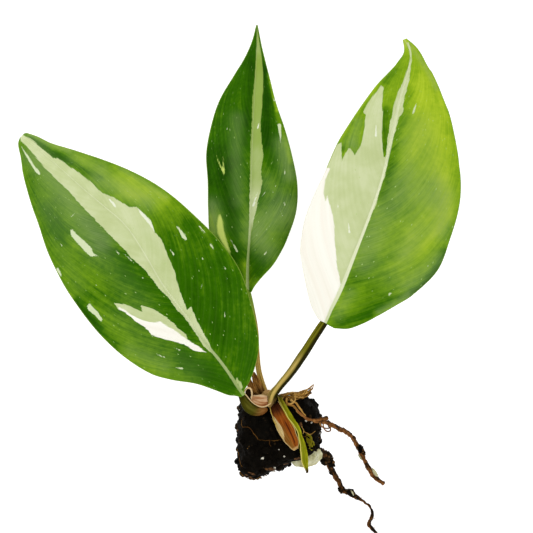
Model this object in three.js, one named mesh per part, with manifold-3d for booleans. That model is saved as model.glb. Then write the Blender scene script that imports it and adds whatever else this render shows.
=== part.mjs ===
// A bare-rooted philodendron plantlet of a white-variegated kind, lying on its back on a flat surface.
// It has three leaves, each a blade on its own petiole, a short stem with a fresh and a withered
// bud sheath, and a small root ball of peat that two long roots and a tangle of fine ones leave.
//
// Everything is in millimetres. The origin is the middle of the flat spot under the root ball.
// +Z is up from the surface, +Y runs from the roots to the leaf tips, and +X is to the right of
// someone who stands at the roots and looks down on the plant.

import * as THREE from "three";
import { mergeVertices } from "three/addons/utils/BufferGeometryUtils.js";
import Module from "manifold-3d";

const wasm = await Module();
wasm.setup();

// Driving dimensions
const SEAT_GAP = 0.3; // left between two pieces that touch
const FACET_TOLERANCE = 0.05; // how far a face may move when slivers left by a cut are cleared
const PEAT_TOLERANCE = 0.12; // the same for the peat, whose surface is rough anyway
const BLADE_THICKNESS = 0.8;
const MIDRIB_DEPTH = 1.1; // how far the midrib stands out under the blade, at its base
const SHEATH_THICKNESS = 0.7;
const BALL_HALF = new THREE.Vector3(15.4, 15.6, 12.4); // half-sizes of the root ball
const BALL_SQUARENESS = 4.4; // 2 would be a round ball, and more is nearer to a block
const BALL_SINK = 1.2; // how much of the ball's underside its own weight has flattened
const BALL_LUMP = 0.9; // height of the lumps on the ball
const BALL_END_SHARE = 0.74; // how much of its half-length the ball keeps at its root end
const BALL_END_SLANT = 0.48; // how much less that is on the right, and more on the left
const CRUMBS = 20;
const CRUMB_RADIUS = [1.2, 2.2];

// Each blade: its midrib from the base to the tip, and its half-widths as rows of
// [share of the midrib's length, left half-width, right half-width].
// rise and droop shape the section: each half rises from the midrib and then curves down.
// curl is the extra droop of one half towards the tip, and wave is the height of the margin's waves.
const LEFT_BLADE = {
  midrib: [
    [-13.3, 16.3, 27.5], [-27.5, 39, 32.5], [-44, 60, 33.5], [-62, 82, 29.5],
    [-80.5, 100, 20.7], [-91.5, 109.6, 11.2], [-96.6, 113.6, 4.4], [-98.2, 115, 0.75],
  ],
  halfWidths: [
    [0, 1.2, 1.2], [0.02, 4.6, 4.2], [0.05, 8, 9], [0.095, 13.2, 14.6], [0.14, 20, 18.4],
    [0.19, 25.2, 21.3], [0.28, 29.2, 25.2], [0.375, 30.3, 26], [0.47, 30.4, 24.6],
    [0.56, 29.6, 21.6], [0.66, 26, 17.8], [0.755, 20, 12.6], [0.82, 15.6, 8.8],
    [0.885, 10.4, 5.2], [0.94, 5.6, 3], [1, 0.7, 0.7],
  ],
  rise: 0.2,
  droop: 0.27,
  curl: [0.05, 0.45],
  wave: 0.7,
  waveCount: 3.5,
};
const CENTRE_BLADE = {
  midrib: [
    [-10.5, 55.5, 12.6], [-11.6, 66, 15.4], [-11, 79, 16.6], [-10.5, 101, 16.4],
    [-9.8, 121, 13], [-8.9, 138, 7.4], [-8.4, 150, 2.7], [-8.4, 157.1, 0.75],
  ],
  halfWidths: [
    [0, 1.1, 1.1], [0.02, 2.8, 2.2], [0.05, 5.6, 4.4], [0.1, 9.7, 8.4], [0.15, 12.9, 11.7],
    [0.2, 15.1, 14.2], [0.3, 16.2, 17.1], [0.4, 16.3, 17.6], [0.5, 17, 15.9], [0.6, 16.1, 12.6],
    [0.7, 13.2, 8.4], [0.8, 8.3, 5.1], [0.86, 5, 3.4], [0.92, 2.3, 1.8], [1, 0.5, 0.5],
  ],
  rise: 0.3,
  droop: 0.36,
  curl: [0.1, 0.2],
  wave: 0.9,
  waveCount: 3,
};
const RIGHT_BLADE = {
  midrib: [
    [17.5, 43.7, 24], [22.7, 52.8, 26.2], [30, 69.4, 28], [37.4, 90, 27.4], [41.6, 109, 22.6],
    [46, 129, 13.6], [49.4, 141, 6.8], [50, 147, 2.9], [48.2, 151.4, 0.85],
  ],
  halfWidths: [
    [0, 3, 3.2], [0.02, 7.2, 7], [0.05, 11, 10.8], [0.1, 15.2, 16], [0.145, 18.6, 21],
    [0.19, 21.3, 25], [0.285, 23.8, 29.6], [0.38, 23.7, 30.8], [0.48, 22.2, 30.2],
    [0.575, 19.5, 28], [0.68, 15.2, 23.8], [0.785, 10, 17.8], [0.85, 6.8, 12.4],
    [0.915, 4, 6.4], [0.96, 2.2, 3], [1, 0.7, 0.7],
  ],
  rise: 0.16,
  droop: 0.24,
  curl: [0.35, 0.1],
  wave: 0.6,
  waveCount: 2.5,
};

// Each round piece: rows of [x, y, z, half-width across, half-height], from where it is rooted.
const STEM = [
  [-0.6, 3, 9.5, 2.6, 2.4], [-1.6, 8, 12.6, 3.3, 3], [-3, 12.4, 16.2, 3.6, 3.3],
  [-4.4, 15.4, 19.4, 3.2, 3], [-5.4, 17.6, 21.8, 1.9, 1.8],
];
const RIGHT_PETIOLE = [
  [-4.4, 11.8, 23.4, 1.5, 1.3], [-3, 14.4, 24.2, 2.1, 1.9], [0, 19.2, 24.4, 2.3, 2],
  [3.6, 24.6, 24, 2, 1.8], [8, 30.6, 23.4, 1.7, 1.6], [12.6, 36.6, 23, 1.55, 1.5],
  [16.6, 42.4, 22.9, 1.6, 1.4], [19.6, 47.6, 23.6, 1.2, 1],
];
const CENTRE_PETIOLE = [
  [-4.9, 16.4, 19.4, 1.3, 1.2], [-6.2, 20.6, 17.8, 1.35, 1.2], [-7.2, 26, 16.2, 1.2, 1.1],
  [-7.9, 32, 14.6, 1.05, 1], [-8.9, 42, 12.6, 1, 0.95], [-10, 51, 11.4, 1, 0.95],
  [-10.9, 57.6, 12.2, 0.9, 0.8],
];
const LEFT_PETIOLE = [
  [-6.4, 12.4, 22.6, 1.7, 1.5], [-9.6, 11.4, 23.6, 2, 1.7], [-12.2, 12.6, 24.8, 1.9, 1.6],
  [-13.3, 15.4, 25.6, 1.6, 1.4], [-15.8, 20, 26.6, 1.15, 0.95],
];
const UPPER_ROOT = [
  [1.4, 13.8, 20.4, 1.1, 1], [5, 13.4, 23, 1.15, 1.1], [8.2, 10.4, 23.8, 1.2, 1.1],
  [11.4, 7.6, 23.3, 1.2, 1.1], [15, 6.2, 20.8, 1.15, 1.1], [19.4, 5.2, 15.6, 1, 0.95],
  [23.2, 3.2, 10, 0.9, 0.85], [27.2, 1, 4.6, 0.85, 0.8], [29.6, -2.8, 1.8, 0.7, 0.7],
  [31.6, -6.4, 0.95, 0.6, 0.6], [33.6, -10.6, 0.8, 0.6, 0.55], [36.2, -14.6, 0.8, 0.7, 0.55],
  [39.8, -17.6, 0.6, 0.4, 0.4],
];
const LOWER_ROOT = [
  [9.8, 4, 21.8, 1, 0.9], [11.2, -0.6, 22.6, 1.15, 1], [12.9, -4.2, 20.4, 1.05, 1],
  [16, -5.6, 16, 1.2, 1.1], [18.6, -8.2, 11, 1.6, 1.4], [19.8, -12, 6.6, 1.2, 1.1],
  [22, -15.6, 3, 0.85, 0.85], [24.8, -20.2, 1.3, 0.8, 0.8], [28.6, -22.4, 1.2, 1, 0.9],
  [31.6, -24, 0.9, 0.5, 0.5], [34.8, -26.4, 0.75, 0.4, 0.45], [35.8, -29.8, 0.9, 0.6, 0.6],
  [34.4, -33.2, 0.9, 0.65, 0.6], [36.6, -36.4, 0.8, 0.55, 0.5], [38.8, -38.8, 0.6, 0.35, 0.35],
];
// A broken side branch of the upper root.
const UPPER_ROOT_STUB = [
  [12.4, 7, 22.6, 1, 0.9], [15.6, 7, 21.4, 1, 0.9], [17.6, 7.5, 20.6, 1, 0.9],
  [19, 8, 20, 1.15, 1],
];
// Clods of peat that still cling to the long roots: [x, y, z, radius].
const UPPER_ROOT_CLODS = [[30.8, -4, 1.7, 1.45]];
const LOWER_ROOT_CLODS = [
  [18, -6, 12.8, 2.2], [19.6, -9.8, 9, 2], [23.6, -20.4, 1.5, 1.2], [28, -21.2, 1.7, 1.6],
];
// The fine roots: each leaves the stem, and is a row of [x, y, z] points.
const FINE_ROOTS = [
  [[0, 15, 18.5], [3.4, 17.4, 20.6], [7, 17.6, 21.2], [10.6, 19.2, 19.4], [13, 20, 17.6]],
  [[0, 14.4, 18], [3.6, 15.6, 21.2], [8, 15.8, 21.4], [11.2, 17.6, 19.6], [12.6, 16, 17.6]],
  [[0.4, 14.6, 17.4], [4.4, 18.4, 18.6], [8.6, 19.4, 18.8], [12, 18.2, 17], [13.4, 14.6, 14.6]],
  [[0, 15.4, 17.4], [4, 16.6, 18.6], [8.6, 14, 20.8], [9.8, 11.6, 21.6], [10.4, 9, 21.8]],
  [[0.4, 14.6, 18], [2.6, 19, 18], [5.6, 19.8, 17.6], [10, 20.4, 17], [13.2, 18.8, 15]],
];
const FINE_ROOT_RADIUS = 0.55;
// The pale chip of pumice that is caught in the end of the ball.
const CHIP_CENTRE = new THREE.Vector3(9.9, -6.9, 17.6);
const CHIP_HALF = new THREE.Vector3(6.2, 4.2, 2.2);

// The bud sheaths: rows of [x, y, z, radius of the curled sheath], from where they are rooted.
// span is half the angle that the sheath curls round, from its base to its tip.
const GREEN_SHEATH = {
  path: [
    [0, 16, 22.6, 1.2], [1.8, 13.4, 25.2, 1.3], [4.1, 9.6, 27, 1.4], [6.5, 5.4, 27.4, 1.4],
    [8.4, 1, 27, 1.4], [9.5, -3.8, 26.2, 1.4], [10.2, -8, 24.8, 1.2], [10.7, -11.2, 23.6, 0.7],
    [11, -13.2, 22.8, 0.35],
  ],
  span: [1.9, 1.5],
  lean: 0.5,
};
const BROWN_SHEATH = {
  path: [
    [-2.4, 13.6, 22.8, 2], [-1.2, 10.6, 24.8, 2.6], [0.6, 6.8, 26, 3.1], [2.8, 2.6, 26.4, 3.3],
    [4.9, -1.6, 26, 2.8], [6.6, -4.4, 25.4, 1.6], [7.2, -5.2, 25.2, 0.9],
  ],
  span: [1.7, 1.15],
  lean: -0.1,
};
const LEFT_SHEATH = {
  path: [
    [-3.6, 13.2, 22.4, 2.9], [-6.2, 12.8, 23.4, 3.3], [-9.4, 13.2, 24.6, 3.2],
    [-12, 14.6, 25.6, 2.5], [-13.6, 17, 26.2, 1.6],
  ],
  span: [1.75, 1.5],
  lean: 0.6,
};
// Two torn strips of an old, dry sheath, as rows of [x, y, z, half-width].
const OLD_SHEATH_STRIPS = [
  [[-6.2, 16.4, 21, 1.1], [-7.6, 19.4, 21.6, 1.1], [-8.9, 22.4, 20.8, 0.8], [-9.6, 25, 20.4, 0.4]],
  [[-6.8, 15.6, 20.6, 1], [-9.4, 17.4, 21.8, 1], [-10.6, 20, 22.4, 0.8], [-10.9, 22.2, 22.4, 0.4]],
];

// A number between 0 and 1 that looks random, always the same for the same seed.
function seededRandom(seed) {
  let state = seed;
  return () => {
    state = (state + 0x6d2b79f5) | 0;
    let mixed = Math.imul(state ^ (state >>> 15), 1 | state);
    mixed = (mixed + Math.imul(mixed ^ (mixed >>> 7), 61 | mixed)) ^ mixed;
    return ((mixed ^ (mixed >>> 14)) >>> 0) / 4294967296;
  };
}

// A smooth function through rows of [position, value, value, ...]: it gives one column's value.
function through(rows, column) {
  const slope = (i) => {
    const before = rows[Math.max(i - 1, 0)];
    const after = rows[Math.min(i + 1, rows.length - 1)];
    return (after[column] - before[column]) / (after[0] - before[0]);
  };
  return (at) => {
    let i = 0;
    while (i < rows.length - 2 && at > rows[i + 1][0]) i += 1;
    const span = rows[i + 1][0] - rows[i][0];
    const s = THREE.MathUtils.clamp((at - rows[i][0]) / span, 0, 1);
    const fromStart = rows[i][column] * (2 * s ** 3 - 3 * s ** 2 + 1);
    const toEnd = rows[i + 1][column] * (3 * s ** 2 - 2 * s ** 3);
    const startSlope = slope(i) * span * (s ** 3 - 2 * s ** 2 + s);
    const endSlope = slope(i + 1) * span * (s ** 3 - s ** 2);
    return fromStart + toEnd + startSlope + endSlope;
  };
}

function evenly(count) {
  return Array.from({ length: count + 1 }, (_, i) => i / count);
}

// A path through rows of [x, y, z, sizes...]: point, direction and frame at a share of its length,
// and each size there. side is level, and up is square to it and to the path.
function pathThrough(rows) {
  const curve = new THREE.CatmullRomCurve3(
    rows.map(([x, y, z]) => new THREE.Vector3(x, y, z)),
    false,
    "centripetal",
  );
  curve.arcLengthDivisions = 400;
  const lengths = curve.getLengths();
  const total = lengths[lengths.length - 1];
  const shares = rows.map((_, i) => {
    const at = (i / (rows.length - 1)) * (lengths.length - 1);
    return lengths[Math.round(at)] / total;
  });
  const sizeRows = rows.map((row, i) => [shares[i], ...row.slice(3)]);
  return {
    at(t) {
      const along = curve.getTangentAt(t);
      const side = new THREE.Vector3().crossVectors(along, new THREE.Vector3(0, 0, 1)).normalize();
      const up = new THREE.Vector3().crossVectors(side, along).normalize();
      return { point: curve.getPointAt(t), along, side, up };
    },
    size(t, column = 1) {
      return through(sizeRows, column)(t);
    },
  };
}

function closedGeometry(positions, triangles) {
  const geometry = new THREE.BufferGeometry();
  geometry.setAttribute("position", new THREE.Float32BufferAttribute(positions, 3));
  geometry.setIndex(triangles);
  return geometry;
}

// A sheet with a thickness: surfaceAt(row, column) is its middle, and thicknessAt gives how far its
// upper and its lower face stand off it. Both faces are split into triangles alike.
function thickSheet(surfaceAt, thicknessAt, rows, columns, grow) {
  const step = 1e-3;
  const faces = { upper: [], lower: [] };
  for (const r of rows) {
    for (const c of columns) {
      const point = surfaceAt(r, c);
      const r1 = Math.min(r + step, rows[rows.length - 1]);
      const c1 = Math.min(c + step, columns[columns.length - 1]);
      const alongRow = surfaceAt(r1, c).sub(surfaceAt(r1 - step, c));
      const acrossRow = surfaceAt(r, c1).sub(surfaceAt(r, c1 - step));
      const normal = new THREE.Vector3().crossVectors(acrossRow, alongRow).normalize();
      const outward = new THREE.Vector3();
      if (r === rows[0]) outward.sub(alongRow.clone().normalize());
      if (r === rows[rows.length - 1]) outward.add(alongRow.clone().normalize());
      if (c === columns[0]) outward.sub(acrossRow.clone().normalize());
      if (c === columns[columns.length - 1]) outward.add(acrossRow.clone().normalize());
      point.addScaledVector(outward, grow);
      const [above, below] = thicknessAt(r, c);
      faces.upper.push(point.clone().addScaledVector(normal, above + grow));
      faces.lower.push(point.clone().addScaledVector(normal, -below - grow));
    }
  }
  const wide = columns.length;
  const lowerStart = faces.upper.length;
  const triangles = [];
  const quad = (a, b, c, d) => triangles.push(a, b, c, a, c, d);
  for (let i = 0; i < rows.length - 1; i += 1) {
    for (let j = 0; j < wide - 1; j += 1) {
      const a = i * wide + j;
      quad(a, a + 1, a + wide + 1, a + wide);
      const b = lowerStart + a;
      triangles.push(b, b + wide + 1, b + 1, b, b + wide, b + wide + 1);
    }
  }
  for (let i = 0; i < rows.length - 1; i += 1) {
    const first = i * wide;
    const last = first + wide - 1;
    quad(first, first + wide, lowerStart + first + wide, lowerStart + first);
    quad(last + wide, last, lowerStart + last, lowerStart + last + wide);
  }
  for (let j = 0; j < wide - 1; j += 1) {
    const end = (rows.length - 1) * wide + j;
    quad(j + 1, j, lowerStart + j, lowerStart + j + 1);
    quad(end, end + 1, lowerStart + end + 1, lowerStart + end);
  }
  const positions = [...faces.upper, ...faces.lower].flatMap((p) => p.toArray());
  return closedGeometry(positions, triangles);
}

// A rod along a path, with an oval section and rounded ends.
function taperedRod(path, sides, steps, grow) {
  const roundedEnd = 0.02;
  const shares = [0, roundedEnd, ...evenly(steps).slice(1, -1), 1 - roundedEnd, 1];
  const positions = [];
  shares.forEach((t, i) => {
    const { point, along, side, up } = path.at(t);
    const isEnd = i === 0 || i === shares.length - 1;
    const direction = i === 0 ? -1 : 1;
    if (isEnd) point.addScaledVector(along, direction * grow);
    const shrink = isEnd ? 0.6 : 1;
    const across = path.size(t, 1) * shrink + grow;
    const high = path.size(t, 2) * shrink + grow;
    for (let k = 0; k < sides; k += 1) {
      const angle = (2 * Math.PI * k) / sides;
      const corner = point.clone();
      corner.addScaledVector(side, across * Math.cos(angle));
      corner.addScaledVector(up, high * Math.sin(angle));
      positions.push(...corner.toArray());
    }
  });
  const last = (shares.length - 1) * sides;
  const triangles = [];
  for (let i = 0; i < shares.length - 1; i += 1) {
    for (let k = 0; k < sides; k += 1) {
      const a = i * sides + k;
      const b = i * sides + ((k + 1) % sides);
      triangles.push(a, b + sides, b, a, a + sides, b + sides);
    }
  }
  for (let k = 1; k < sides - 1; k += 1) {
    triangles.push(0, k, k + 1, last, last + k + 1, last + k);
  }
  return closedGeometry(positions, triangles);
}

// Solids are joined and cut as manifold-3d bodies.
function solidOf(geometry) {
  const bare = geometry.clone();
  bare.deleteAttribute("normal");
  bare.deleteAttribute("uv");
  const merged = mergeVertices(bare, 1e-4);
  const solid = new wasm.Manifold(
    new wasm.Mesh({
      numProp: 3,
      vertProperties: new Float32Array(merged.attributes.position.array),
      triVerts: new Uint32Array(merged.index.array),
    }),
  );
  if (solid.volume() < 0) throw new Error("a piece is inside out");
  return solid;
}

function geometryOf(solid) {
  const mesh = solid.getMesh();
  const positions = [];
  for (let i = 0; i < mesh.numVert; i += 1) {
    positions.push(...mesh.vertProperties.subarray(i * mesh.numProp, i * mesh.numProp + 3));
  }
  const geometry = closedGeometry(positions, [...mesh.triVerts]);
  geometry.computeVertexNormals();
  return geometry;
}

function largestBody(solid) {
  const bodies = solid.decompose();
  return bodies.reduce((best, body) => (body.volume() > best.volume() ? body : best));
}

function joined(solids) {
  return solids.reduce((whole, solid) => whole.add(solid));
}

// Blades

const BLADE_ROWS = [
  0, 0.012, 0.028, 0.05, 0.08, 0.115, 0.15, 0.19, 0.235, 0.28, 0.33, 0.38, 0.43, 0.48, 0.53, 0.58,
  0.63, 0.68, 0.725, 0.77, 0.81, 0.85, 0.885, 0.915, 0.94, 0.962, 0.982, 1,
];
const BLADE_COLUMNS = [
  -1, -0.87, -0.7, -0.52, -0.34, -0.17, -0.05, 0, 0.05, 0.17, 0.34, 0.52, 0.7, 0.87, 1,
];

// The middle of a blade, at a share of its length and from -1 at the left margin to 1 at the right.
function bladeSurface(blade) {
  const path = pathThrough(blade.midrib);
  const leftWidth = through(blade.halfWidths, 1);
  const rightWidth = through(blade.halfWidths, 2);
  return (t, v) => {
    const { point, side } = path.at(t);
    const out = Math.abs(v);
    const halfWidth = v < 0 ? leftWidth(t) : rightWidth(t);
    const tipCurl = (v < 0 ? blade.curl[0] : blade.curl[1]) * THREE.MathUtils.smoothstep(t, 0.55, 1);
    const lift = blade.rise * out - (blade.droop + tipCurl) * out ** 2;
    const phase = 2 * Math.PI * blade.waveCount * t + (v < 0 ? 0 : 2);
    const waveHeight = blade.wave * out ** 2 * Math.sin(Math.PI * t);
    point.addScaledVector(side, v * halfWidth);
    point.z += halfWidth * lift + waveHeight * Math.sin(phase);
    return point;
  };
}

function bladeThickness(t, v) {
  const taper = 1 - 0.75 * t;
  const midrib = MIDRIB_DEPTH * taper * Math.exp(-((v / 0.06) ** 2));
  const half = BLADE_THICKNESS / 2;
  return [half, half + midrib];
}

function bladeSolid(blade, grow) {
  const surface = bladeSurface(blade);
  return solidOf(thickSheet(surface, bladeThickness, BLADE_ROWS, BLADE_COLUMNS, grow));
}

// Petioles, stem and sheaths

function rodSolid(rows, sides, steps, grow) {
  return solidOf(taperedRod(pathThrough(rows), sides, steps, grow));
}

// A curled sheath: an open trough that follows its path, widest where the path says.
function sheathSolid(sheath, grow) {
  const path = pathThrough(sheath.path);
  const surface = (t, v) => {
    const { point, side, up } = path.at(t);
    const halfSpan = THREE.MathUtils.lerp(sheath.span[0], sheath.span[1], t);
    const angle = v * halfSpan + sheath.lean;
    const radius = path.size(t, 1);
    point.addScaledVector(side, radius * Math.sin(angle));
    point.addScaledVector(up, -radius * Math.cos(angle));
    return point;
  };
  const thickness = () => [SHEATH_THICKNESS / 2, SHEATH_THICKNESS / 2];
  const columns = evenly(8).map((share) => 2 * share - 1);
  return solidOf(thickSheet(surface, thickness, evenly(12), columns, grow));
}

function stripSolid(rows, grow) {
  const path = pathThrough(rows);
  const surface = (t, v) => {
    const { point, side } = path.at(t);
    point.addScaledVector(side, v * path.size(t, 1));
    point.z -= 0.35 * v ** 2;
    return point;
  };
  const thickness = () => [0.3, 0.3];
  return solidOf(thickSheet(surface, thickness, evenly(6), [-1, -0.4, 0.4, 1], grow));
}

// The stem, with a raised ring at each of its nodes.
function stemSolid(grow) {
  const path = pathThrough(STEM);
  const ringShares = [0.6, 0.78];
  const rings = ringShares.map((t) => {
    const { point, along } = path.at(t);
    const ring = new THREE.TorusGeometry(path.size(t, 1) - 0.1, 0.45 + grow, 4, 8);
    const turn = new THREE.Quaternion().setFromUnitVectors(new THREE.Vector3(0, 0, 1), along);
    ring.applyQuaternion(turn);
    ring.translate(...point.toArray());
    return solidOf(ring);
  });
  return joined([rodSolid(STEM, 8, 6, grow), ...rings]);
}

function leftPetioleSolid(grow) {
  return sheathSolid(LEFT_SHEATH, grow).add(rodSolid(LEFT_PETIOLE, 8, 7, grow));
}

function oldSheathSolid(grow) {
  return joined(OLD_SHEATH_STRIPS.map((rows) => stripSolid(rows, grow)));
}

// Roots

// A ball of radius 1 with its corners shared, to be pushed in and out.
function roughBall(detail) {
  const ball = new THREE.IcosahedronGeometry(1, detail);
  ball.deleteAttribute("normal");
  ball.deleteAttribute("uv");
  return mergeVertices(ball);
}

function clod([x, y, z, radius], seed, grow) {
  const random = seededRandom(seed);
  const rock = roughBall(1);
  const corners = rock.attributes.position;
  for (let i = 0; i < corners.count; i += 1) {
    const reach = radius * (0.75 + 0.4 * random()) + grow;
    corners.setXYZ(i, corners.getX(i) * reach, corners.getY(i) * reach, corners.getZ(i) * reach);
  }
  rock.translate(x, y, Math.max(z, radius * 1.15 + 0.1));
  return solidOf(rock);
}

function upperRootSolid(grow) {
  const lumps = UPPER_ROOT_CLODS.map((place, i) => clod(place, 40 + i, grow));
  const stub = rodSolid(UPPER_ROOT_STUB, 7, 5, grow);
  return joined([rodSolid(UPPER_ROOT, 7, 32, grow), stub, ...lumps]);
}

function lowerRootSolid(grow) {
  const lumps = LOWER_ROOT_CLODS.map((place, i) => clod(place, 60 + i, grow));
  return joined([rodSolid(LOWER_ROOT, 7, 38, grow), ...lumps]);
}

function fineRootsSolid(grow) {
  const strands = FINE_ROOTS.map((points) => {
    const rows = points.map(([x, y, z], i) => {
      const radius = FINE_ROOT_RADIUS * (1 - 0.1 * i);
      return [x, y, z, radius, radius];
    });
    return rodSolid(rows, 5, 9, grow);
  });
  return joined(strands);
}

// Root ball

// A ball with flat sides, as a plug of peat has from its tray, with low lumps all over it.
function ballGeometry() {
  const ball = roughBall(6);
  const corners = ball.attributes.position;
  for (let i = 0; i < corners.count; i += 1) {
    const d = new THREE.Vector3().fromBufferAttribute(corners, i).normalize();
    const powers = d.toArray().map((share) => Math.abs(share) ** BALL_SQUARENESS);
    const reach = (powers[0] + powers[1] + powers[2]) ** (-1 / BALL_SQUARENESS);
    const lump =
      Math.sin(5.1 * d.x + 1.3) * Math.sin(6.3 * d.y + 0.7) * Math.sin(5.7 * d.z + 2.1) +
      0.6 * Math.sin(13 * d.x + 4 * d.z) * Math.sin(12 * d.y - 3 * d.z) +
      0.4 * Math.sin(21 * d.y + 9 * d.x) * Math.sin(19 * d.z);
    const out = reach + (BALL_LUMP * lump) / BALL_HALF.x;
    // The end away from the leaves slants, because most of the peat on its right has fallen off.
    const endShare = d.y < 0 ? BALL_END_SHARE - BALL_END_SLANT * d.x : 1;
    corners.setXYZ(
      i,
      d.x * out * BALL_HALF.x,
      d.y * out * BALL_HALF.y * endShare,
      d.z * out * BALL_HALF.z,
    );
  }
  ball.translate(0, 0, BALL_HALF.z - BALL_SINK);
  return ball;
}

function crumbSolids(ball) {
  const random = seededRandom(7);
  const surface = ball.attributes.position;
  return Array.from({ length: CRUMBS }, (_, i) => {
    const corner = Math.floor(random() * surface.count);
    const radius = THREE.MathUtils.lerp(...CRUMB_RADIUS, random() ** 2);
    const crumb = new THREE.IcosahedronGeometry(radius, 0);
    crumb.scale(1, 0.6 + 0.5 * random(), 0.6 + 0.5 * random());
    crumb.rotateX(3 * random() + i);
    crumb.rotateZ(3 * random() + i);
    const inset = 0.99;
    crumb.translate(
      surface.getX(corner) * inset,
      surface.getY(corner) * inset,
      surface.getZ(corner) * inset,
    );
    return solidOf(crumb);
  });
}

function ballSolid() {
  const ball = ballGeometry();
  const floor = new THREE.BoxGeometry(80, 80, 20).translate(0, 0, -10);
  return joined([solidOf(ball), ...crumbSolids(ball)]).subtract(solidOf(floor));
}

function chipSolid(grow) {
  const random = seededRandom(5);
  const chip = roughBall(2);
  const corners = chip.attributes.position;
  for (let i = 0; i < corners.count; i += 1) {
    const rough = 0.93 + 0.12 * random();
    corners.setXYZ(
      i,
      corners.getX(i) * (CHIP_HALF.x * rough + grow),
      corners.getY(i) * (CHIP_HALF.y * rough + grow),
      corners.getZ(i) * (CHIP_HALF.z * rough + grow),
    );
  }
  return solidOf(chip.rotateX(0.35).rotateZ(0.12).translate(...CHIP_CENTRE.toArray()));
}

// Colours as they look in daylight
const LEAF_GREEN = new THREE.MeshStandardMaterial({ color: 0x3c7d12, roughness: 0.42 });
const LIME_GREEN = new THREE.MeshStandardMaterial({ color: 0x7da51c, roughness: 0.42 });
const PETIOLE_OLIVE = new THREE.MeshStandardMaterial({ color: 0x5a5517, roughness: 0.5 });
const PETIOLE_TAN = new THREE.MeshStandardMaterial({ color: 0xa89648, roughness: 0.55 });
const STEM_BROWN = new THREE.MeshStandardMaterial({ color: 0x6e5a2c, roughness: 0.65 });
const SHEATH_GREEN = new THREE.MeshStandardMaterial({ color: 0xa2ab1e, roughness: 0.5 });
const SHEATH_BROWN = new THREE.MeshStandardMaterial({ color: 0xb07a3c, roughness: 0.7 });
const DRY_TAN = new THREE.MeshStandardMaterial({ color: 0x9a7446, roughness: 0.85 });
const ROOT_BROWN = new THREE.MeshStandardMaterial({ color: 0x7a4e26, roughness: 0.85 });
const PEAT = new THREE.MeshStandardMaterial({ color: 0x1c140c, roughness: 0.98 });
const PUMICE = new THREE.MeshStandardMaterial({ color: 0xd2d0b4, roughness: 0.8 });

// The pieces, in the order in which they give way: each one is cut back from all those above it.
const PIECES = [
  { name: "left_blade", material: LEAF_GREEN, solid: (grow) => bladeSolid(LEFT_BLADE, grow) },
  { name: "centre_blade", material: LEAF_GREEN, solid: (grow) => bladeSolid(CENTRE_BLADE, grow) },
  { name: "right_blade", material: LIME_GREEN, solid: (grow) => bladeSolid(RIGHT_BLADE, grow) },
  { name: "stem", material: STEM_BROWN, solid: stemSolid },
  {
    name: "right_petiole",
    material: PETIOLE_OLIVE,
    solid: (grow) => rodSolid(RIGHT_PETIOLE, 12, 20, grow),
  },
  { name: "left_petiole", material: PETIOLE_OLIVE, solid: leftPetioleSolid },
  {
    name: "centre_petiole",
    material: PETIOLE_TAN,
    solid: (grow) => rodSolid(CENTRE_PETIOLE, 10, 18, grow),
  },
  { name: "green_sheath", material: SHEATH_GREEN, solid: (grow) => sheathSolid(GREEN_SHEATH, grow) },
  { name: "brown_sheath", material: SHEATH_BROWN, solid: (grow) => sheathSolid(BROWN_SHEATH, grow) },
  { name: "old_sheath", material: DRY_TAN, solid: oldSheathSolid },
  { name: "upper_root", material: ROOT_BROWN, solid: upperRootSolid },
  { name: "lower_root", material: ROOT_BROWN, solid: lowerRootSolid },
  { name: "fine_roots", material: DRY_TAN, solid: fineRootsSolid },
  { name: "pumice_chip", material: PUMICE, solid: chipSolid },
  { name: "root_ball", material: PEAT, solid: ballSolid, tolerance: PEAT_TOLERANCE },
];

const plant = new THREE.Group();
const grownSoFar = [];
for (const { name, material, solid, tolerance = FACET_TOLERANCE } of PIECES) {
  const whole = solid(0);
  const cut = grownSoFar.reduce((rest, other) => rest.subtract(other), whole);
  const body = largestBody(cut).simplify(tolerance);
  const mesh = new THREE.Mesh(geometryOf(body), material);
  mesh.name = name;
  plant.add(mesh);
  grownSoFar.push(solid(SEAT_GAP));
}

export default plant;
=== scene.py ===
import math
import random

import bmesh
import bpy
import numpy as np
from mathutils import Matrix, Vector, noise


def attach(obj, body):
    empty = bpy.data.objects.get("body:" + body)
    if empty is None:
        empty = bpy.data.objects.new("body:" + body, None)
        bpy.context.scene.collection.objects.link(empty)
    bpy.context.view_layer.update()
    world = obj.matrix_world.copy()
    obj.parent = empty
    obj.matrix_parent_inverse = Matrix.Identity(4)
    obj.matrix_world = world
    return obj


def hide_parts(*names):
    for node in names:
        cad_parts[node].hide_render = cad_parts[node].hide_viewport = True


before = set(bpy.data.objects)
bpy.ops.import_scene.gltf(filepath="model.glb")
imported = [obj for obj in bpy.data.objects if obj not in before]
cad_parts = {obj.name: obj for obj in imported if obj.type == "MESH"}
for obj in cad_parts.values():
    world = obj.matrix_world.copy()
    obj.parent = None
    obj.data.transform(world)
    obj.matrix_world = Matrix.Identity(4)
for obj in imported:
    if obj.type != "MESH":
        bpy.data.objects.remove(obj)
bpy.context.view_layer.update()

MM = 0.001  # every size below is in millimetres, in the frame of the CAD model


# Root ball
# A plug of moist black peat, squared by the tray it grew in, held together by the roots inside it.
# One end has crumbled away. Bits of perlite and bark are mixed in, and its underside is pressed flat.

BALL_HALF = np.array([15.4, 15.6, 12.4])
BALL_SQUARENESS = 4.4
BALL_SINK = 1.2
BALL_LUMP = 0.9
BALL_END_SHARE = 0.74
BALL_END_SLANT = 0.48
CRUMB_COUNT = 210
FLAKE_COUNT = 34
PERLITE_SPOTS = [(0.12, -0.6, 0.9), (0.0, -0.36, 0.95), (0.85, 0.1, 0.4)]
LOOSE_PERLITE_COUNT = 24
LOWEST = 0.02  # the height of the parts that touch the surface
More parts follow.
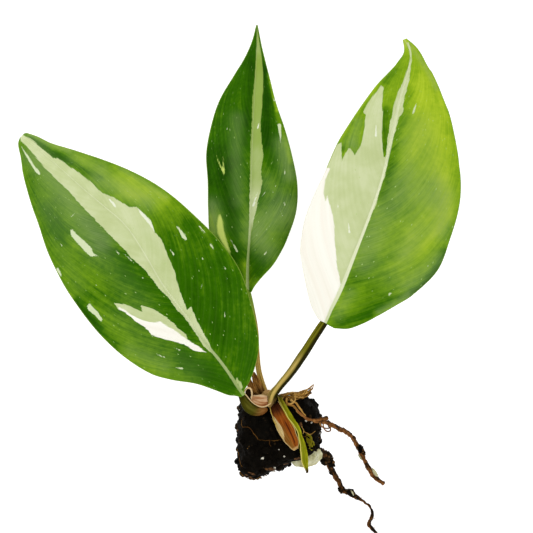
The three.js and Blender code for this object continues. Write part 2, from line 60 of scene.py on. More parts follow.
# A bed is the line that a sheath lies along, as x and y of its two ends, a half-width and a height.
SHEATH_BEDS = [((-2.4, 13.6, 8.6, -7), 4.2, 23.2), ((-3.4, 13, -12, 14.4), 4, 21.6)]
STUDIO_BRIGHTNESS = 1.4  # how much brighter than a plain white lamp the studio light is


def seen(red, green, blue):
    """A colour as the eye sees it under the studio light. 255 is white on a level surface, and a
    little more is white on one that leans."""
    parts = [value / 255 for value in (red, green, blue)]
    linear = [v / 12.92 if v <= 0.04045 else ((v + 0.055) / 1.055) ** 2.4 for v in parts]
    return (*[v / STUDIO_BRIGHTNESS for v in linear], 1.0)


def new_finish(name, roughness, specular):
    """A material with its shader, whose plain numbers sit on the shader's own sockets."""
    finish = bpy.data.materials.new(name)
    finish.use_nodes = True
    shader = finish.node_tree.nodes["Principled BSDF"]
    shader.inputs["Roughness"].default_value = roughness
    shader.inputs["Specular IOR Level"].default_value = specular
    return finish


def node(finish, kind, inputs=None, **settings):
    """Adds a node to a finish. inputs maps its sockets to values or to other nodes' outputs."""
    made = finish.node_tree.nodes.new("ShaderNode" + kind)
    for name, value in settings.items():
        setattr(made, name, value)
    for socket, value in (inputs or {}).items():
        if isinstance(value, bpy.types.NodeSocket):
            finish.node_tree.links.new(value, made.inputs[socket])
        else:
            made.inputs[socket].default_value = value
    return made


def reckon(finish, operation, first, second=0.0):
    return node(finish, "Math", {0: first, 1: second}, operation=operation).outputs[0]


def times(finish, first, second):
    return reckon(finish, "MULTIPLY", first, second)


def plus(finish, first, second):
    return reckon(finish, "ADD", first, second)


def minus(finish, first, second):
    return reckon(finish, "SUBTRACT", first, second)


def marked(finish, name):
    """A value that the mesh carries at each of its corners."""
    return node(finish, "Attribute", attribute_name=name).outputs["Fac"]


def step_up(finish, value, low, high):
    """0 below low, 1 above high, and a soft step between."""
    made = node(finish, "MapRange", {0: value, 1: low, 2: high}, interpolation_type="SMOOTHSTEP")
    return made.outputs[0]


def blotches(finish, size, detail=4.0, shift=0.0):
    """Clouds of about the given size, from 0 to 1, through the piece's own space."""
    where = node(finish, "TexCoord").outputs["Object"]
    moved = node(finish, "VectorMath", {0: where, 1: (shift, shift, shift)}, operation="ADD").outputs[0]
    made = node(finish, "TexNoise", {"Vector": moved, "Scale": 1 / (size * MM), "Detail": detail})
    return made.outputs["Fac"]


def shades(finish, value, *stops):
    """A colour ramp through stops of (place, colour)."""
    made = node(finish, "ValToRGB", {0: value})
    ramp = made.color_ramp.elements
    while len(ramp) < len(stops):
        ramp.new(1.0)
    for element, (place, colour) in zip(ramp, stops):
        element.position = place
        element.color = colour
    return made.outputs["Color"]


def laid_over(finish, share, under, over):
    """The under colour with the over colour laid on it where share is 1."""
    made = node(finish, "Mix", {0: share, 6: under, 7: over}, data_type="RGBA")
    return made.outputs[2]


def apply_colour(finish, colour):
    shader = finish.node_tree.nodes["Principled BSDF"]
    finish.node_tree.links.new(colour, shader.inputs["Base Color"])


def apply_roughness(finish, value, low, high):
    """Lets the roughness run from low to high as value runs from 0 to 1."""
    shader = finish.node_tree.nodes["Principled BSDF"]
    spread = node(finish, "MapRange", {0: value, 3: low, 4: high}).outputs[0]
    finish.node_tree.links.new(spread, shader.inputs["Roughness"])


def apply_relief(finish, height, depth):
    """Raises the surface by up to depth, in millimetres, where height is 1."""
    shader = finish.node_tree.nodes["Principled BSDF"]
    bump = node(finish, "Bump", {"Height": height, "Distance": depth * MM, "Strength": 1.0})
    finish.node_tree.links.new(bump.outputs["Normal"], shader.inputs["Normal"])


def make_piece(name, forms, finish):
    """One object from forms of (points, faces, marks): the marks are values at each point."""
    points = np.concatenate([form[0] for form in forms])
    faces = []
    start = 0
    for corners, form_faces, _ in forms:
        faces.extend([[start + i for i in face] for face in form_faces])
        start += len(corners)
    mesh = bpy.data.meshes.new(name)
    mesh.from_pydata((points * MM).tolist(), [], faces)
    for mark in forms[0][2]:
        values = np.concatenate([np.asarray(form[2][mark], dtype=np.float32) for form in forms])
        kind, field = ("FLOAT_VECTOR", "vector") if values.ndim == 2 else ("FLOAT", "value")
        layer = mesh.attributes.new(mark, kind, "POINT")
        layer.data.foreach_set(field, values.ravel())
    mesh.polygons.foreach_set("use_smooth", [True] * len(mesh.polygons))
    mesh.materials.append(finish)
    piece = bpy.data.objects.new(name, mesh)
    bpy.context.scene.collection.objects.link(piece)
    return piece


def lumps(points, size, octaves=3):
    """Noise from about -1 to 1 at each point, with lumps of about the given size."""
    return np.array([noise.fractal(Vector(p), 1.0, 2.0, octaves) for p in points / size])


def round_form(subdivisions):
    """The corners and faces of a ball of radius 1."""
    shape = bmesh.new()
    bmesh.ops.create_icosphere(shape, subdivisions=subdivisions, radius=1.0)
    corners = np.array([vertex.co for vertex in shape.verts])
    faces = [[vertex.index for vertex in face.verts] for face in shape.faces]
    shape.free()
    return corners / np.linalg.norm(corners, axis=1)[:, None], faces


def ball_surface(directions):
    """The points where these directions from the middle of the ball meet its surface."""
    x, y, z = directions.T
    reach = np.sum(np.abs(directions) ** BALL_SQUARENESS, axis=1) ** (-1 / BALL_SQUARENESS)
    lump = (
        np.sin(5.1 * x + 1.3) * np.sin(6.3 * y + 0.7) * np.sin(5.7 * z + 2.1)
        + 0.6 * np.sin(13 * x + 4 * z) * np.sin(12 * y - 3 * z)
        + 0.4 * np.sin(21 * y + 9 * x) * np.sin(19 * z)
    )
    out = (reach + BALL_LUMP * lump / BALL_HALF[0])[:, None]
    points = directions * out * BALL_HALF
    points[:, 1] *= np.where(y < 0, BALL_END_SHARE - BALL_END_SLANT * x, 1)
    return points + np.array([0, 0, BALL_HALF[2] - BALL_SINK])


def way_off(x, y, ax, ay, bx, by):
    """How far each point is from the line between two ends, as seen from above."""
    dx, dy = bx - ax, by - ay
    share = np.clip(((x - ax) * dx + (y - ay) * dy) / (dx * dx + dy * dy + 1e-12), 0, 1)
    return np.hypot(x - ax - share * dx, y - ay - share * dy)


def under_sheaths(points):
    """The ball is dented where the bud sheaths lie on it."""
    x, y = points[:, 0], points[:, 1]
    for line, half, top in SHEATH_BEDS:
        beside = np.maximum(way_off(x, y, *line) - half, 0)
        points[:, 2] = np.minimum(points[:, 2], top - 0.4 * np.clip(y - 9, 0, 4) + 1.2 * beside)
    return points


def pressed_flat(points):
    """Nothing reaches below the surface that the plant lies on."""
    points[:, 2] = np.maximum(points[:, 2], LOWEST)
    return points


def crumbly(points):
    """How far crumbs stand out at each point: rounded grains of two sizes."""
    coarse = np.array([noise.voronoi(Vector(p))[0][0] for p in points / 2.6])
    fine = np.array([noise.voronoi(Vector(p))[0][0] for p in points / 1.1])
    return 0.75 * (0.5 - coarse) + 0.32 * (0.5 - fine) + 0.3 * lumps(points, 5.0)


def rock(draw, centre, radius, tone, subdivisions=3, roughness=0.3):
    """One rough grain with corners pushed in and out, turned any way."""
    corners, faces = round_form(subdivisions)
    stretch = np.array([draw.uniform(0.7, 1.3) for _ in range(3)])
    seed = np.array([draw.uniform(0, 90) for _ in range(3)])
    out = 1 + roughness * lumps(corners + seed, 0.9, 2)
    turn = np.array(Vector((0, 0, 1)).rotation_difference(
        Vector([draw.uniform(-1, 1) for _ in range(3)])).to_matrix())
    points = (corners * out[:, None] * stretch * radius) @ turn.T + centre
    return pressed_flat(points), faces, {"tone": np.full(len(points), tone)}


def any_direction(draw):
    while True:
        way = np.array([draw.uniform(-1, 1) for _ in range(3)])
        if 0.1 < np.linalg.norm(way) < 1:
            return way / np.linalg.norm(way)


peat_finish = new_finish("moist_peat", roughness=0.95, specular=0.03)
grain_tone = plus(peat_finish, marked(peat_finish, "tone"),
                  times(peat_finish, blotches(peat_finish, 1.6), 0.55))
peat_colour = shades(
    peat_finish, grain_tone,
    (0.3, seen(7, 5, 2)), (0.48, seen(17, 13, 7)), (0.66, seen(44, 32, 16)), (0.95, seen(112, 80, 46)),
)
fibre_specks = step_up(peat_finish, blotches(peat_finish, 0.5, 2.0, 3.0), 0.7, 0.76)
apply_colour(peat_finish, laid_over(peat_finish, fibre_specks, peat_colour, seen(70, 50, 26)))
apply_roughness(peat_finish, blotches(peat_finish, 3.0), 0.55, 1.0)
apply_relief(peat_finish, blotches(peat_finish, 0.45, 6.0), 0.35)

ball_corners, ball_faces = round_form(7)
ball_points = ball_surface(ball_corners)
ball_points = pressed_flat(under_sheaths(ball_points + ball_corners * crumbly(ball_points)[:, None]))
ball_forms = [(ball_points, ball_faces, {"tone": 0.08 + 0.1 * lumps(ball_points, 7.0)})]
draw = random.Random(11)
for _ in range(CRUMB_COUNT):
    way = any_direction(draw)
    size = 0.45 + 1.15 * draw.random() ** 3
    place = ball_surface(way[None, :])[0] + way * (0.1 - 0.25 * size)
    points, faces, marks = rock(draw, place, size, draw.choice([0.0, 0.0, 0.05, 0.1, 0.2, 0.4]), 2)
    ball_forms.append((under_sheaths(points), faces, marks))
peat_ball = make_piece("peat_ball", ball_forms, peat_finish)
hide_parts("root_ball")
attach(peat_ball, "root")

bark_finish = new_finish("bark_flakes", roughness=0.85, specular=0.1)
apply_colour(bark_finish, shades(
    bark_finish, blotches(bark_finish, 1.1, 5.0),
    (0.3, seen(38, 24, 12)), (0.5, seen(86, 56, 28)), (0.72, seen(146, 104, 58)),
))
apply_relief(bark_finish, blotches(bark_finish, 0.35, 5.0), 0.25)
flake_forms = []
for _ in range(FLAKE_COUNT):
    way = any_direction(draw)
    if draw.random() < 0.6:
        way = np.array([draw.uniform(-0.9, -0.1), draw.uniform(-1, -0.5), draw.uniform(-0.5, 0.7)])
        way /= np.linalg.norm(way)
    place = ball_surface(way[None, :])[0]
    points, faces, marks = rock(draw, np.zeros(3), 1.0, 0.0, 3, 0.2)
    flat = points * np.array([draw.uniform(0.8, 1.9), draw.uniform(0.5, 1.0), 0.28])
    lean = np.array(Vector((0, 0, 1)).rotation_difference(Vector(way)).to_matrix())
    flake_forms.append((pressed_flat(under_sheaths(flat @ lean.T + place - 0.1 * way)), faces, marks))
flakes = make_piece("bark_flakes", flake_forms, bark_finish)
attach(flakes, "root")

perlite_finish = new_finish("perlite", roughness=0.9, specular=0.2)
apply_colour(perlite_finish, shades(
    perlite_finish, blotches(perlite_finish, 0.5, 3.0),
    (0.35, seen(170, 160, 138)), (0.6, seen(232, 229, 214)),
))
apply_relief(perlite_finish, blotches(perlite_finish, 0.2, 3.0), 0.1)
perlite_forms = []
for aim in [*PERLITE_SPOTS, *[None] * LOOSE_PERLITE_COUNT]:
    way = np.array(aim) / np.linalg.norm(aim) if aim else any_direction(draw)
    place = ball_surface(way[None, :])[0] + 0.15 * way
    perlite_forms.append(rock(draw, place, draw.uniform(0.2, 0.5), 0.0, 2, 0.6))
perlite = make_piece("perlite_bits", perlite_forms, perlite_finish)
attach(perlite, "root")


# Pumice chip
# A pale, porous chip from the potting mix, caught in the crumbled end of the ball.
# Its faces are broken and rounded, with open pores.

CHIP_CENTRE = np.array([10.2, -6.9, 17.6])
CHIP_HALF = np.array([6.6, 4.6, 2.2])
CHIP_TILT = 0.35
CHIP_TURN = 0.12

pumice_finish = new_finish("porous_pumice", roughness=0.85, specular=0.25)
chip_pores = node(pumice_finish, "TexVoronoi", {
    "Vector": node(pumice_finish, "TexCoord").outputs["Object"], "Scale": 1 / (0.8 * MM)})
open_pores = step_up(pumice_finish, chip_pores.outputs["Distance"], 0.28, 0.12)
chip_colour = shades(
    pumice_finish, blotches(pumice_finish, 2.5, 5.0),
    (0.3, seen(160, 154, 104)), (0.5, seen(204, 200, 156)), (0.7, seen(226, 224, 192)),
)
# Painted shade: the open pores are painted darker, as shade inside them.
apply_colour(pumice_finish, laid_over(pumice_finish, times(pumice_finish, open_pores, 0.6),
                                      chip_colour, seen(118, 112, 84)))
apply_relief(pumice_finish, minus(pumice_finish, blotches(pumice_finish, 0.6, 5.0), open_pores), 0.3)

chip_corners, chip_faces = round_form(6)
chip_out = 0.97 + 0.09 * lumps(chip_corners, 0.8) + 0.03 * lumps(chip_corners, 0.2)
chip_pits = np.array([noise.voronoi(Vector(p))[0][0] for p in chip_corners * CHIP_HALF / 1.5])
chip_out -= 0.05 * np.clip(0.35 - chip_pits, 0, 1) / 0.35
chip_points = chip_corners * chip_out[:, None] * CHIP_HALF
tilt = np.array([[1, 0, 0], [0, math.cos(CHIP_TILT), -math.sin(CHIP_TILT)],
                 [0, math.sin(CHIP_TILT), math.cos(CHIP_TILT)]])
turn = np.array([[math.cos(CHIP_TURN), -math.sin(CHIP_TURN), 0],
                 [math.sin(CHIP_TURN), math.cos(CHIP_TURN), 0], [0, 0, 1]])
chip_points = chip_points @ tilt.T @ turn.T + CHIP_CENTRE
chip = make_piece("porous_chip", [(chip_points, chip_faces, {})], pumice_finish)
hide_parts("pumice_chip")
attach(chip, "root")


# Long roots
# Two wiry brown roots leave the stem, run over the ball and trail down to the surface.
# Their skin is wrinkled, peat clings to them in clods, and the upper one has a broken branch.

# Roots and stalks are rows of x, y, z, half-width and half-height. Clods are x, y, z and radius, and
# grit is x, y, z, half-length and half-width.
UPPER_ROOT = [
    (2, 13.6, 21.4, 0.45, 0.45), (4.6, 12.9, 23.6, 0.4, 0.4), (6.6, 11, 24.6, 0.42, 0.4),
    (8.4, 9, 24.6, 0.45, 0.42), (10.4, 7.5, 23.9, 0.52, 0.5), (13.3, 6.6, 22.2, 0.62, 0.58),
    (17.1, 6.1, 18.4, 0.82, 0.76), (19.6, 5.2, 15.2, 0.88, 0.82), (23.2, 3.2, 10, 0.88, 0.82),
    (27.2, 1, 4.6, 0.85, 0.8), (29.6, -2.8, 1.8, 0.82, 0.75), (31.6, -6.4, 0.95, 0.78, 0.65),
    (33.6, -10.6, 0.9, 0.85, 0.7), (36.2, -14.6, 0.9, 0.95, 0.7), (38.6, -16.9, 0.8, 0.8, 0.65),
    (40.3, -18, 0.75, 0.78, 0.6),
]
UPPER_ROOT_STUB = [
    (12.6, 6.7, 22.7, 0.6, 0.55), (15.6, 7, 21.2, 0.72, 0.66), (17.3, 7.3, 20.3, 0.8, 0.75),
    (18.6, 7.8, 19.7, 1, 0.9),
]
LOWER_ROOT = [
    (9.8, 4, 19.8, 0.6, 0.5), (11.2, -0.6, 20.4, 0.6, 0.5), (13.2, -4.4, 19.8, 0.7, 0.6),
    (16, -5.2, 16, 1.05, 0.9), (18.4, -7.6, 11.4, 1.3, 1.1), (19.8, -11.6, 6.8, 1.15, 1),
    (22, -15.6, 3, 0.95, 0.85), (24.8, -20.2, 1.3, 0.9, 0.8), (28.6, -22.4, 1.2, 1, 0.9),
    (31.6, -24, 0.9, 0.5, 0.5), (34.8, -26.6, 0.75, 0.42, 0.45), (35.7, -29.8, 0.9, 0.62, 0.6),
    (34.4, -33.2, 0.9, 0.65, 0.6), (36.4, -35.8, 0.8, 0.6, 0.5), (38.6, -38.4, 0.6, 0.4, 0.35),
]
UPPER_ROOT_CLODS = [(31.2, -4.5, 1.7, 1.45), (32.2, -5.8, 1.5, 0.9), (34.2, -11.6, 1.0, 0.8)]
ROOT_GRIT = [(36.7, -13.6, 1.5, 2.0, 0.62), (31, -7.6, 1.4, 1.5, 0.4), (27.9, -21.2, 2.7, 1.3, 0.45)]
LOWER_ROOT_CLODS = [
    (16.2, -5.2, 15.2, 1.5), (18.6, -7.2, 11.8, 2.2), (17.2, -8.8, 11, 1.8), (19.8, -9.6, 8.6, 2),
    (23.6, -20.4, 1.5, 1.1), (27.4, -21.2, 1.7, 1.8), (20, -13.2, 5.6, 1.2), (35.4, -30.6, 1.1, 0.7),
    (29.8, -23.2, 1.2, 0.9), (13.6, -4.4, 19.6, 1),
]
CLOD_STRETCH = 0.75
GRAINS_PER_CLOD = 16
GRIT_WAY = (0.52, -0.85)
SWAY_LENGTH = 2.2
HAIR_ROOT_RADIUS = 0.26
ROOTLET_RADIUS = 0.1
HAIR_ROOTS = [
    [(16.8, 5.6, 18.8), (16.9, 4.2, 18.4), (17.6, 2.9, 17.6), (18.6, 2.4, 17), (19.6, 2.8, 16.4),
     (19.4, 3.9, 16),
     (18.6, 4.6, 16.4)],
    [(15.4, 6, 20.6), (16, 4.6, 19.8), (17.2, 3.8, 18.6), (18.4, 3.6, 17.4), (19.8, 4, 16)],
]


def curve_points(knots, where):
    """A smooth curve through the knots. where runs from 0 at the first to 1 at the last."""
    last = len(knots) - 1
    place = np.clip(where, 0, 1) * last
    i = np.minimum(place.astype(int), last - 1)
    s = (place - i)[:, None]
    around = np.vstack([2 * knots[0] - knots[1], knots, 2 * knots[-1] - knots[-2]])
    p0, p1, p2, p3 = (around[i + k] for k in range(4))
    d0, d1, d2 = (np.sqrt(np.linalg.norm(b - a, axis=1))[:, None]
                  for a, b in ((p0, p1), (p1, p2), (p2, p3)))
    leaving = ((p1 - p0) / d0 - (p2 - p0) / (d0 + d1) + (p2 - p1) / d1) * d1
    arriving = ((p2 - p1) / d1 - (p3 - p1) / (d1 + d2) + (p3 - p2) / d2) * d1
    bend = -3 * p1 + 3 * p2 - 2 * leaving - arriving
    twist = 2 * p1 - 2 * p2 + leaving + arriving
    return p1 + leaving * s + bend * s ** 2 + twist * s ** 3


def through(rows, column, at):
    """One column's value, smooth through rows of (place, value, value, ...)."""
    x, y = rows[:, 0], rows[:, column]
    each = np.arange(len(x))
    before, after = np.maximum(each - 1, 0), np.minimum(each + 1, len(x) - 1)
    slope = (y[after] - y[before]) / (x[after] - x[before])
    i = np.clip(np.searchsorted(x, at, side="left") - 1, 0, len(x) - 2)
    span = x[i + 1] - x[i]
    s = np.clip((at - x[i]) / span, 0, 1)
    return (y[i] * (2 * s ** 3 - 3 * s ** 2 + 1) + y[i + 1] * (3 * s ** 2 - 2 * s ** 3)
            + slope[i] * span * (s ** 3 - 2 * s ** 2 + s) + slope[i + 1] * span * (s ** 3 - s ** 2))


class GrownPath:
    """A path through rows of (x, y, z, sizes...), as the CAD model draws it."""

    def __init__(self, rows):
        rows = np.array(rows, dtype=float)
        self.knots = rows[:, :3]
        self.where = np.linspace(0, 1, 401)
        steps = np.linalg.norm(np.diff(curve_points(self.knots, self.where), axis=0), axis=1)
        self.run = np.concatenate([[0], np.cumsum(steps)])
        self.length = self.run[-1]
        marks = np.round(np.linspace(0, 400, len(rows))).astype(int)
        self.sizes = np.column_stack([self.run[marks] / self.length, rows[:, 3:]])

    def at(self, t):
        """The points at shares of the length, and each one's direction, level side and up."""
        where = np.interp(np.clip(t, 0, 1) * self.length, self.run, self.where)
        ahead = curve_points(self.knots, where + 1e-4) - curve_points(self.knots, where - 1e-4)
        along = ahead / np.linalg.norm(ahead, axis=1)[:, None]
        side = np.cross(along, (0, 0, 1))
        side /= np.linalg.norm(side, axis=1)[:, None]
        return curve_points(self.knots, where), along, side, np.cross(side, along)

    def size(self, t, column=1):
        return through(self.sizes, column, t)


def rod_form(rows, sides, step, relief=None, sway=0.0, tone=0.0):
    """A rod with rounded ends. relief gives what to add to its radius at (length, angle)."""
    path = GrownPath(rows)
    count = max(4, round(path.length / step))
    cap = np.array([0, 0.1, 0.35, 0.7]) * path.size(np.zeros(1))[0] / path.length
    t = np.concatenate([cap, np.linspace(cap[-1], 1 - cap[-1], count)[1:-1], 1 - cap[::-1]])
    point, along, side, up = path.at(t)
    run = t * path.length
    if sway:
        still = np.sin(np.pi * np.clip(t * 1.02, 0, 1)) ** 0.3
        sideways = lumps(np.column_stack([run, run * 0, run * 0]), SWAY_LENGTH, 2)
        upwards = lumps(np.column_stack([run * 0, run, run * 0]), SWAY_LENGTH, 2)
        point += side * (sway * still * sideways)[:, None]
        point += up * (0.5 * sway * still * upwards)[:, None]
    close = np.minimum(t, 1 - t) / cap[-1]
    shrink = np.sqrt(np.clip(1 - (1 - np.clip(close, 0, 1)) ** 2, 0.02, 1))
    angle = np.arange(sides) * 2 * math.pi / sides
    R, A = np.meshgrid(run, angle, indexing="ij")
    extra = relief(R, A) if relief else np.zeros_like(R)
    wide = (path.size(t, 1)[:, None] + extra) * shrink[:, None]
    high = (path.size(t, 2)[:, None] + extra) * shrink[:, None]
    out = side[:, None] * (wide * np.cos(A))[..., None] + up[:, None] * (high * np.sin(A))[..., None]
    points = (point[:, None] + out).reshape(-1, 3)
    grain = np.stack([wide * np.cos(A), wide * np.sin(A), R], axis=-1).reshape(-1, 3)
    faces = []
    for i in range(len(t) - 1):
        for k in range(sides):
            a, b = i * sides + k, i * sides + (k + 1) % sides
            faces.append((a, b, b + sides, a + sides))
    last = (len(t) - 1) * sides
    faces.append(tuple(range(sides))[::-1])
    faces.append(tuple(range(last, last + sides)))
    marks = {
        "grain": grain,
        "along": (R / path.length).ravel(),
        "across": np.cos(A).ravel(),
        "tone": np.full(R.size, tone),
    }
    return pressed_flat(points), faces, marks


def grain_noise(run, angle, width, length, radius=1.0, shift=0.0):
    """Noise over a rod's skin, with grains of the given width and length."""
    where = np.stack([radius * np.cos(angle) / width, radius * np.sin(angle) / width + shift,
                      run / length], axis=-1).reshape(-1, 3)
    return lumps(where, 1.0).reshape(run.shape)


def fibres(finish, width, length, detail=3.0, shift=0.0):
    """Streaks of the given width and length along the grain that the mesh carries."""
    where = node(finish, "Attribute", attribute_name="grain").outputs["Vector"]
    shape = {0: where, 1: (1 / width, 1 / width, 1 / length), 2: (shift, shift, shift)}
    drawn = node(finish, "VectorMath", shape, operation="MULTIPLY_ADD").outputs[0]
    return node(finish, "TexNoise", {"Vector": drawn, "Scale": 1.0, "Detail": detail}).outputs["Fac"]


def knobbly(run, angle):
    return 0.28 * grain_noise(run, angle, 1.3, 1.6) + 0.14 * grain_noise(run, angle, 0.35, 2.5, shift=7)


def rootlets(draw, rows, count, reach, radius):
    """Short hair-like side roots that leave a long root at random places."""
    path = GrownPath(rows)
    forms = []
    for _ in range(count):
        start, along, side, up = path.at(np.array([draw.uniform(0.12, 0.97)]))
        way = (side[0] * draw.choice([-1, 1]) + up[0] * draw.uniform(-0.2, 0.5)
               + along[0] * draw.uniform(-0.3, 0.8))
        way /= np.linalg.norm(way)
        bend = np.array([draw.uniform(-1, 1) for _ in range(3)])
        length = reach * draw.uniform(0.4, 1.0)
        points = [start[0] + way * length * s + bend * 0.35 * length * s ** 2 for s in (0, 0.33, 0.66, 1)]
        hair = [(p[0], p[1], max(p[2], radius), radius * (1 - 0.18 * i), radius * (1 - 0.18 * i))
                for i, p in enumerate(points)]
        forms.append(rod_form(hair, sides=6, step=0.35, tone=draw.uniform(0.1, 0.5)))
    return forms


def clinging(draw, rows, clods):
    """Clods of peat, drawn out along their root, with a few paler grains stuck in them."""
    path = GrownPath(rows)
    every = np.linspace(0, 1, 120)
    points, ways, _, _ = path.at(every)
    forms = []
    for x, y, z, radius in clods:
        centre = np.array([x, y, max(z, radius * 0.9)])
        way = ways[np.argmin(np.linalg.norm(points - centre, axis=1))]
        corners, faces = round_form(4)
        seed = np.array([draw.uniform(0, 90) for _ in range(3)])
        out = 1 + 0.36 * lumps(corners + seed, 0.8, 3) + 0.12 * lumps(corners + seed, 0.2, 2)
        shape = corners * out[:, None] * radius * 0.72
        shape = shape + way * (CLOD_STRETCH * (shape @ way))[:, None]
        tone = draw.choice([0.1, 0.2, 0.3])
        forms.append((pressed_flat(shape + centre), faces, {"tone": np.full(len(shape), tone)}))
        for _ in range(GRAINS_PER_CLOD):
            off = any_direction(draw) * radius * 0.75
            place = centre + off + way * (CLOD_STRETCH * (off @ way))
            place[2] = max(place[2], 0.4)
            size = radius * draw.uniform(0.12, 0.28)
            forms.append(rock(draw, place, size, draw.choice([0.1, 0.3, 0.5, 0.9]), 2))
    return forms


root_finish = new_finish("wrinkled_root", roughness=0.75, specular=0.04)
root_streaks = fibres(root_finish, 0.4, 3.0, 5.0)
root_shade = plus(root_finish, marked(root_finish, "tone"), times(root_finish, root_streaks, 0.85))
dark_blotches = step_up(root_finish, blotches(root_finish, 2.6, 5.0), 0.5, 0.62)
root_shade = minus(root_finish, root_shade, times(root_finish, dark_blotches, 0.22))
# Painted light and shade: each root is painted lighter on one side and darker on the other.
root_shade = plus(root_finish, root_shade, times(root_finish, marked(root_finish, "across"), 0.12))
pale_foot = step_up(root_finish, marked(root_finish, "along"), 0.24, 0.08)
apply_colour(root_finish, shades(
    root_finish, plus(root_finish, root_shade, times(root_finish, pale_foot, 0.2)),
    (0.12, seen(30, 19, 8)), (0.26, seen(64, 40, 14)), (0.4, seen(108, 67, 28)),
    (0.56, seen(156, 101, 52)), (0.74, seen(200, 150, 82)), (0.92, seen(222, 188, 116)),
))
apply_roughness(root_finish, blotches(root_finish, 1.5), 0.5, 0.95)
apply_relief(root_finish, fibres(root_finish, 0.25, 0.9, 5.0), 0.3)

draw = random.Random(23)
upper_forms = [
    rod_form(UPPER_ROOT, sides=18, step=0.28, relief=knobbly, sway=0.35),
    rod_form(UPPER_ROOT_STUB, sides=16, step=0.3, relief=knobbly, tone=-0.04),
    *rootlets(draw, UPPER_ROOT, count=6, reach=2.6, radius=ROOTLET_RADIUS),
]
for points in HAIR_ROOTS:
    hair = [(*point, HAIR_ROOT_RADIUS, HAIR_ROOT_RADIUS) for point in points]
    upper_forms.append(rod_form(hair, sides=8, step=0.3, tone=0.1))
upper = make_piece("upper_long_root", upper_forms, root_finish)
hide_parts("upper_root")
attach(upper, "root")

lower_forms = [
    rod_form(LOWER_ROOT, sides=18, step=0.28, relief=knobbly, sway=0.4, tone=-0.14),
    *rootlets(draw, LOWER_ROOT, count=8, reach=2.4, radius=ROOTLET_RADIUS),
]
lower = make_piece("lower_long_root", lower_forms, root_finish)
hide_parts("lower_root")
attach(lower, "root")

clod_forms = clinging(draw, UPPER_ROOT, UPPER_ROOT_CLODS) + clinging(draw, LOWER_ROOT, LOWER_ROOT_CLODS)
root_clods = make_piece("root_clods", clod_forms, peat_finish)
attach(root_clods, "root")

grit_forms = []
for x, y, z, half_length, half_width in ROOT_GRIT:
    points, faces, marks = rock(draw, np.zeros(3), 1.0, 0.0, 3, 0.25)
    lean = math.atan2(GRIT_WAY[1], GRIT_WAY[0])
    turned = points * np.array([half_length, half_width, half_width])
    across = turned[:, 0] * math.sin(lean) + turned[:, 1] * math.cos(lean)
    ahead = turned[:, 0] * math.cos(lean) - turned[:, 1] * math.sin(lean)
    placed = np.column_stack([ahead + x, across + y, turned[:, 2] + z])
    grit_forms.append((pressed_flat(placed), faces, marks))
root_grit = make_piece("root_grit", grit_forms, pumice_finish)
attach(root_grit, "root")


# Fine roots
# A loose tangle of thin tan roots at the shoulder of the ball, where the stem enters it.
# Some lie over the peat, some loop back into it, and hair roots cling to the rest of the ball.

FINE_ROOTS = [
    [(-0.3, 15, 19), (3, 15.6, 21), (6.4, 15.4, 21.6), (8.9, 16.2, 21), (11.4, 17.4, 19.8),
     (13.1, 19.1, 18.4)],
    [(0.5, 14.4, 19), (3.2, 16.6, 20.8), (5.6, 17.2, 20.8), (6.6, 15.6, 21.6), (9.7, 15.6, 21),
     (12.6, 17.2, 18.8)],
    [(0.4, 14.6, 17.4), (4.4, 16.8, 19), (8.6, 17.6, 19), (11.8, 19, 17.6), (13.2, 20.3, 16.8)],
    [(1.1, 13.3, 22.4), (2.7, 12.7, 24), (4.6, 13, 24.6), (5.8, 13.8, 24.2), (6.1, 15.2, 22.4),
     (5.2, 16.6, 20.4)],
    [(4.4, 14.6, 22.4), (6.5, 13.1, 24.4), (7.9, 11.3, 25), (9.2, 9.7, 25), (10.2, 8.3, 24.2)],
    [(3, 15.2, 22), (3.1, 12.8, 24.4), (4.5, 12.4, 24.9), (5.9, 12, 25), (7.3, 10.6, 25)],
]
FINE_ROOT_RADIUS = 0.42
PALE_HAIR_RADIUS = 0.13
LOOPING_ROOT_COUNT = 30
CLINGING_HAIR_COUNT = 20
SHADE_CRUMB_COUNT = 90
TANGLE_HEIGHT = 21.2
TANGLE_LINE = [(0, 15.4), (3, 16), (6.4, 16), (9, 16.6), (11.6, 17.8), (13.2, 19.1)]
PALE_HAIRS = [
    [(9.3, 2.7, 24.4), (10.6, 2, 24.6), (11.9, 1.3, 24.4), (13.8, 2.7, 23.4)],
    [(8.6, 4.6, 24.4), (9.4, 3, 24.6), (9, 1.6, 24.6)],
]


def looping(draw, step, count):
    """The points of a thin root that wanders and loops along the tangle."""
    run = draw.uniform(0, 0.75) * TANGLE_LINE[-1][0]
    off = draw.uniform(-1.2, 1.2)
    heading = draw.uniform(-0.9, 0.9)
    turn = draw.choice([-1, 1]) * draw.uniform(0.2, 1.0)
    points = []
    for _ in range(count):
        middle = np.interp(run, *np.array(TANGLE_LINE).T)
        fall = TANGLE_HEIGHT - 0.02 * (run - 5) ** 2 - 0.5 * max(off, 0) ** 2
        points.append((run, middle + off, fall + draw.uniform(-0.5, 0.5)))
        heading += turn * draw.uniform(0.3, 1.2)
        run += step * math.cos(heading)
        off = min(max(0.8 * off + step * math.sin(heading), -1.4), 1.1)
        if not 0 < run < TANGLE_LINE[-1][0]:
            run = min(max(run, 0), TANGLE_LINE[-1][0])
            heading = math.pi - heading
    return points


def strand_form(draw, points, radius, wander):
    """A thin root near the given points, bending a little on its own."""
    rows = []
    for i, point in enumerate(points):
        place = np.array(point) + wander * np.array([draw.uniform(-1, 1) for _ in range(3)])
        thick = radius * (1 - 0.12 * i) * draw.uniform(0.85, 1.15)
        rows.append((*place[:2], max(place[2], thick), thick, thick))
    return rod_form(rows, 8, 0.35, lambda run, angle: 0.2 * radius * grain_noise(run, angle, 1.0, 1.2),
                    0.3, draw.uniform(-0.1, 0.3))


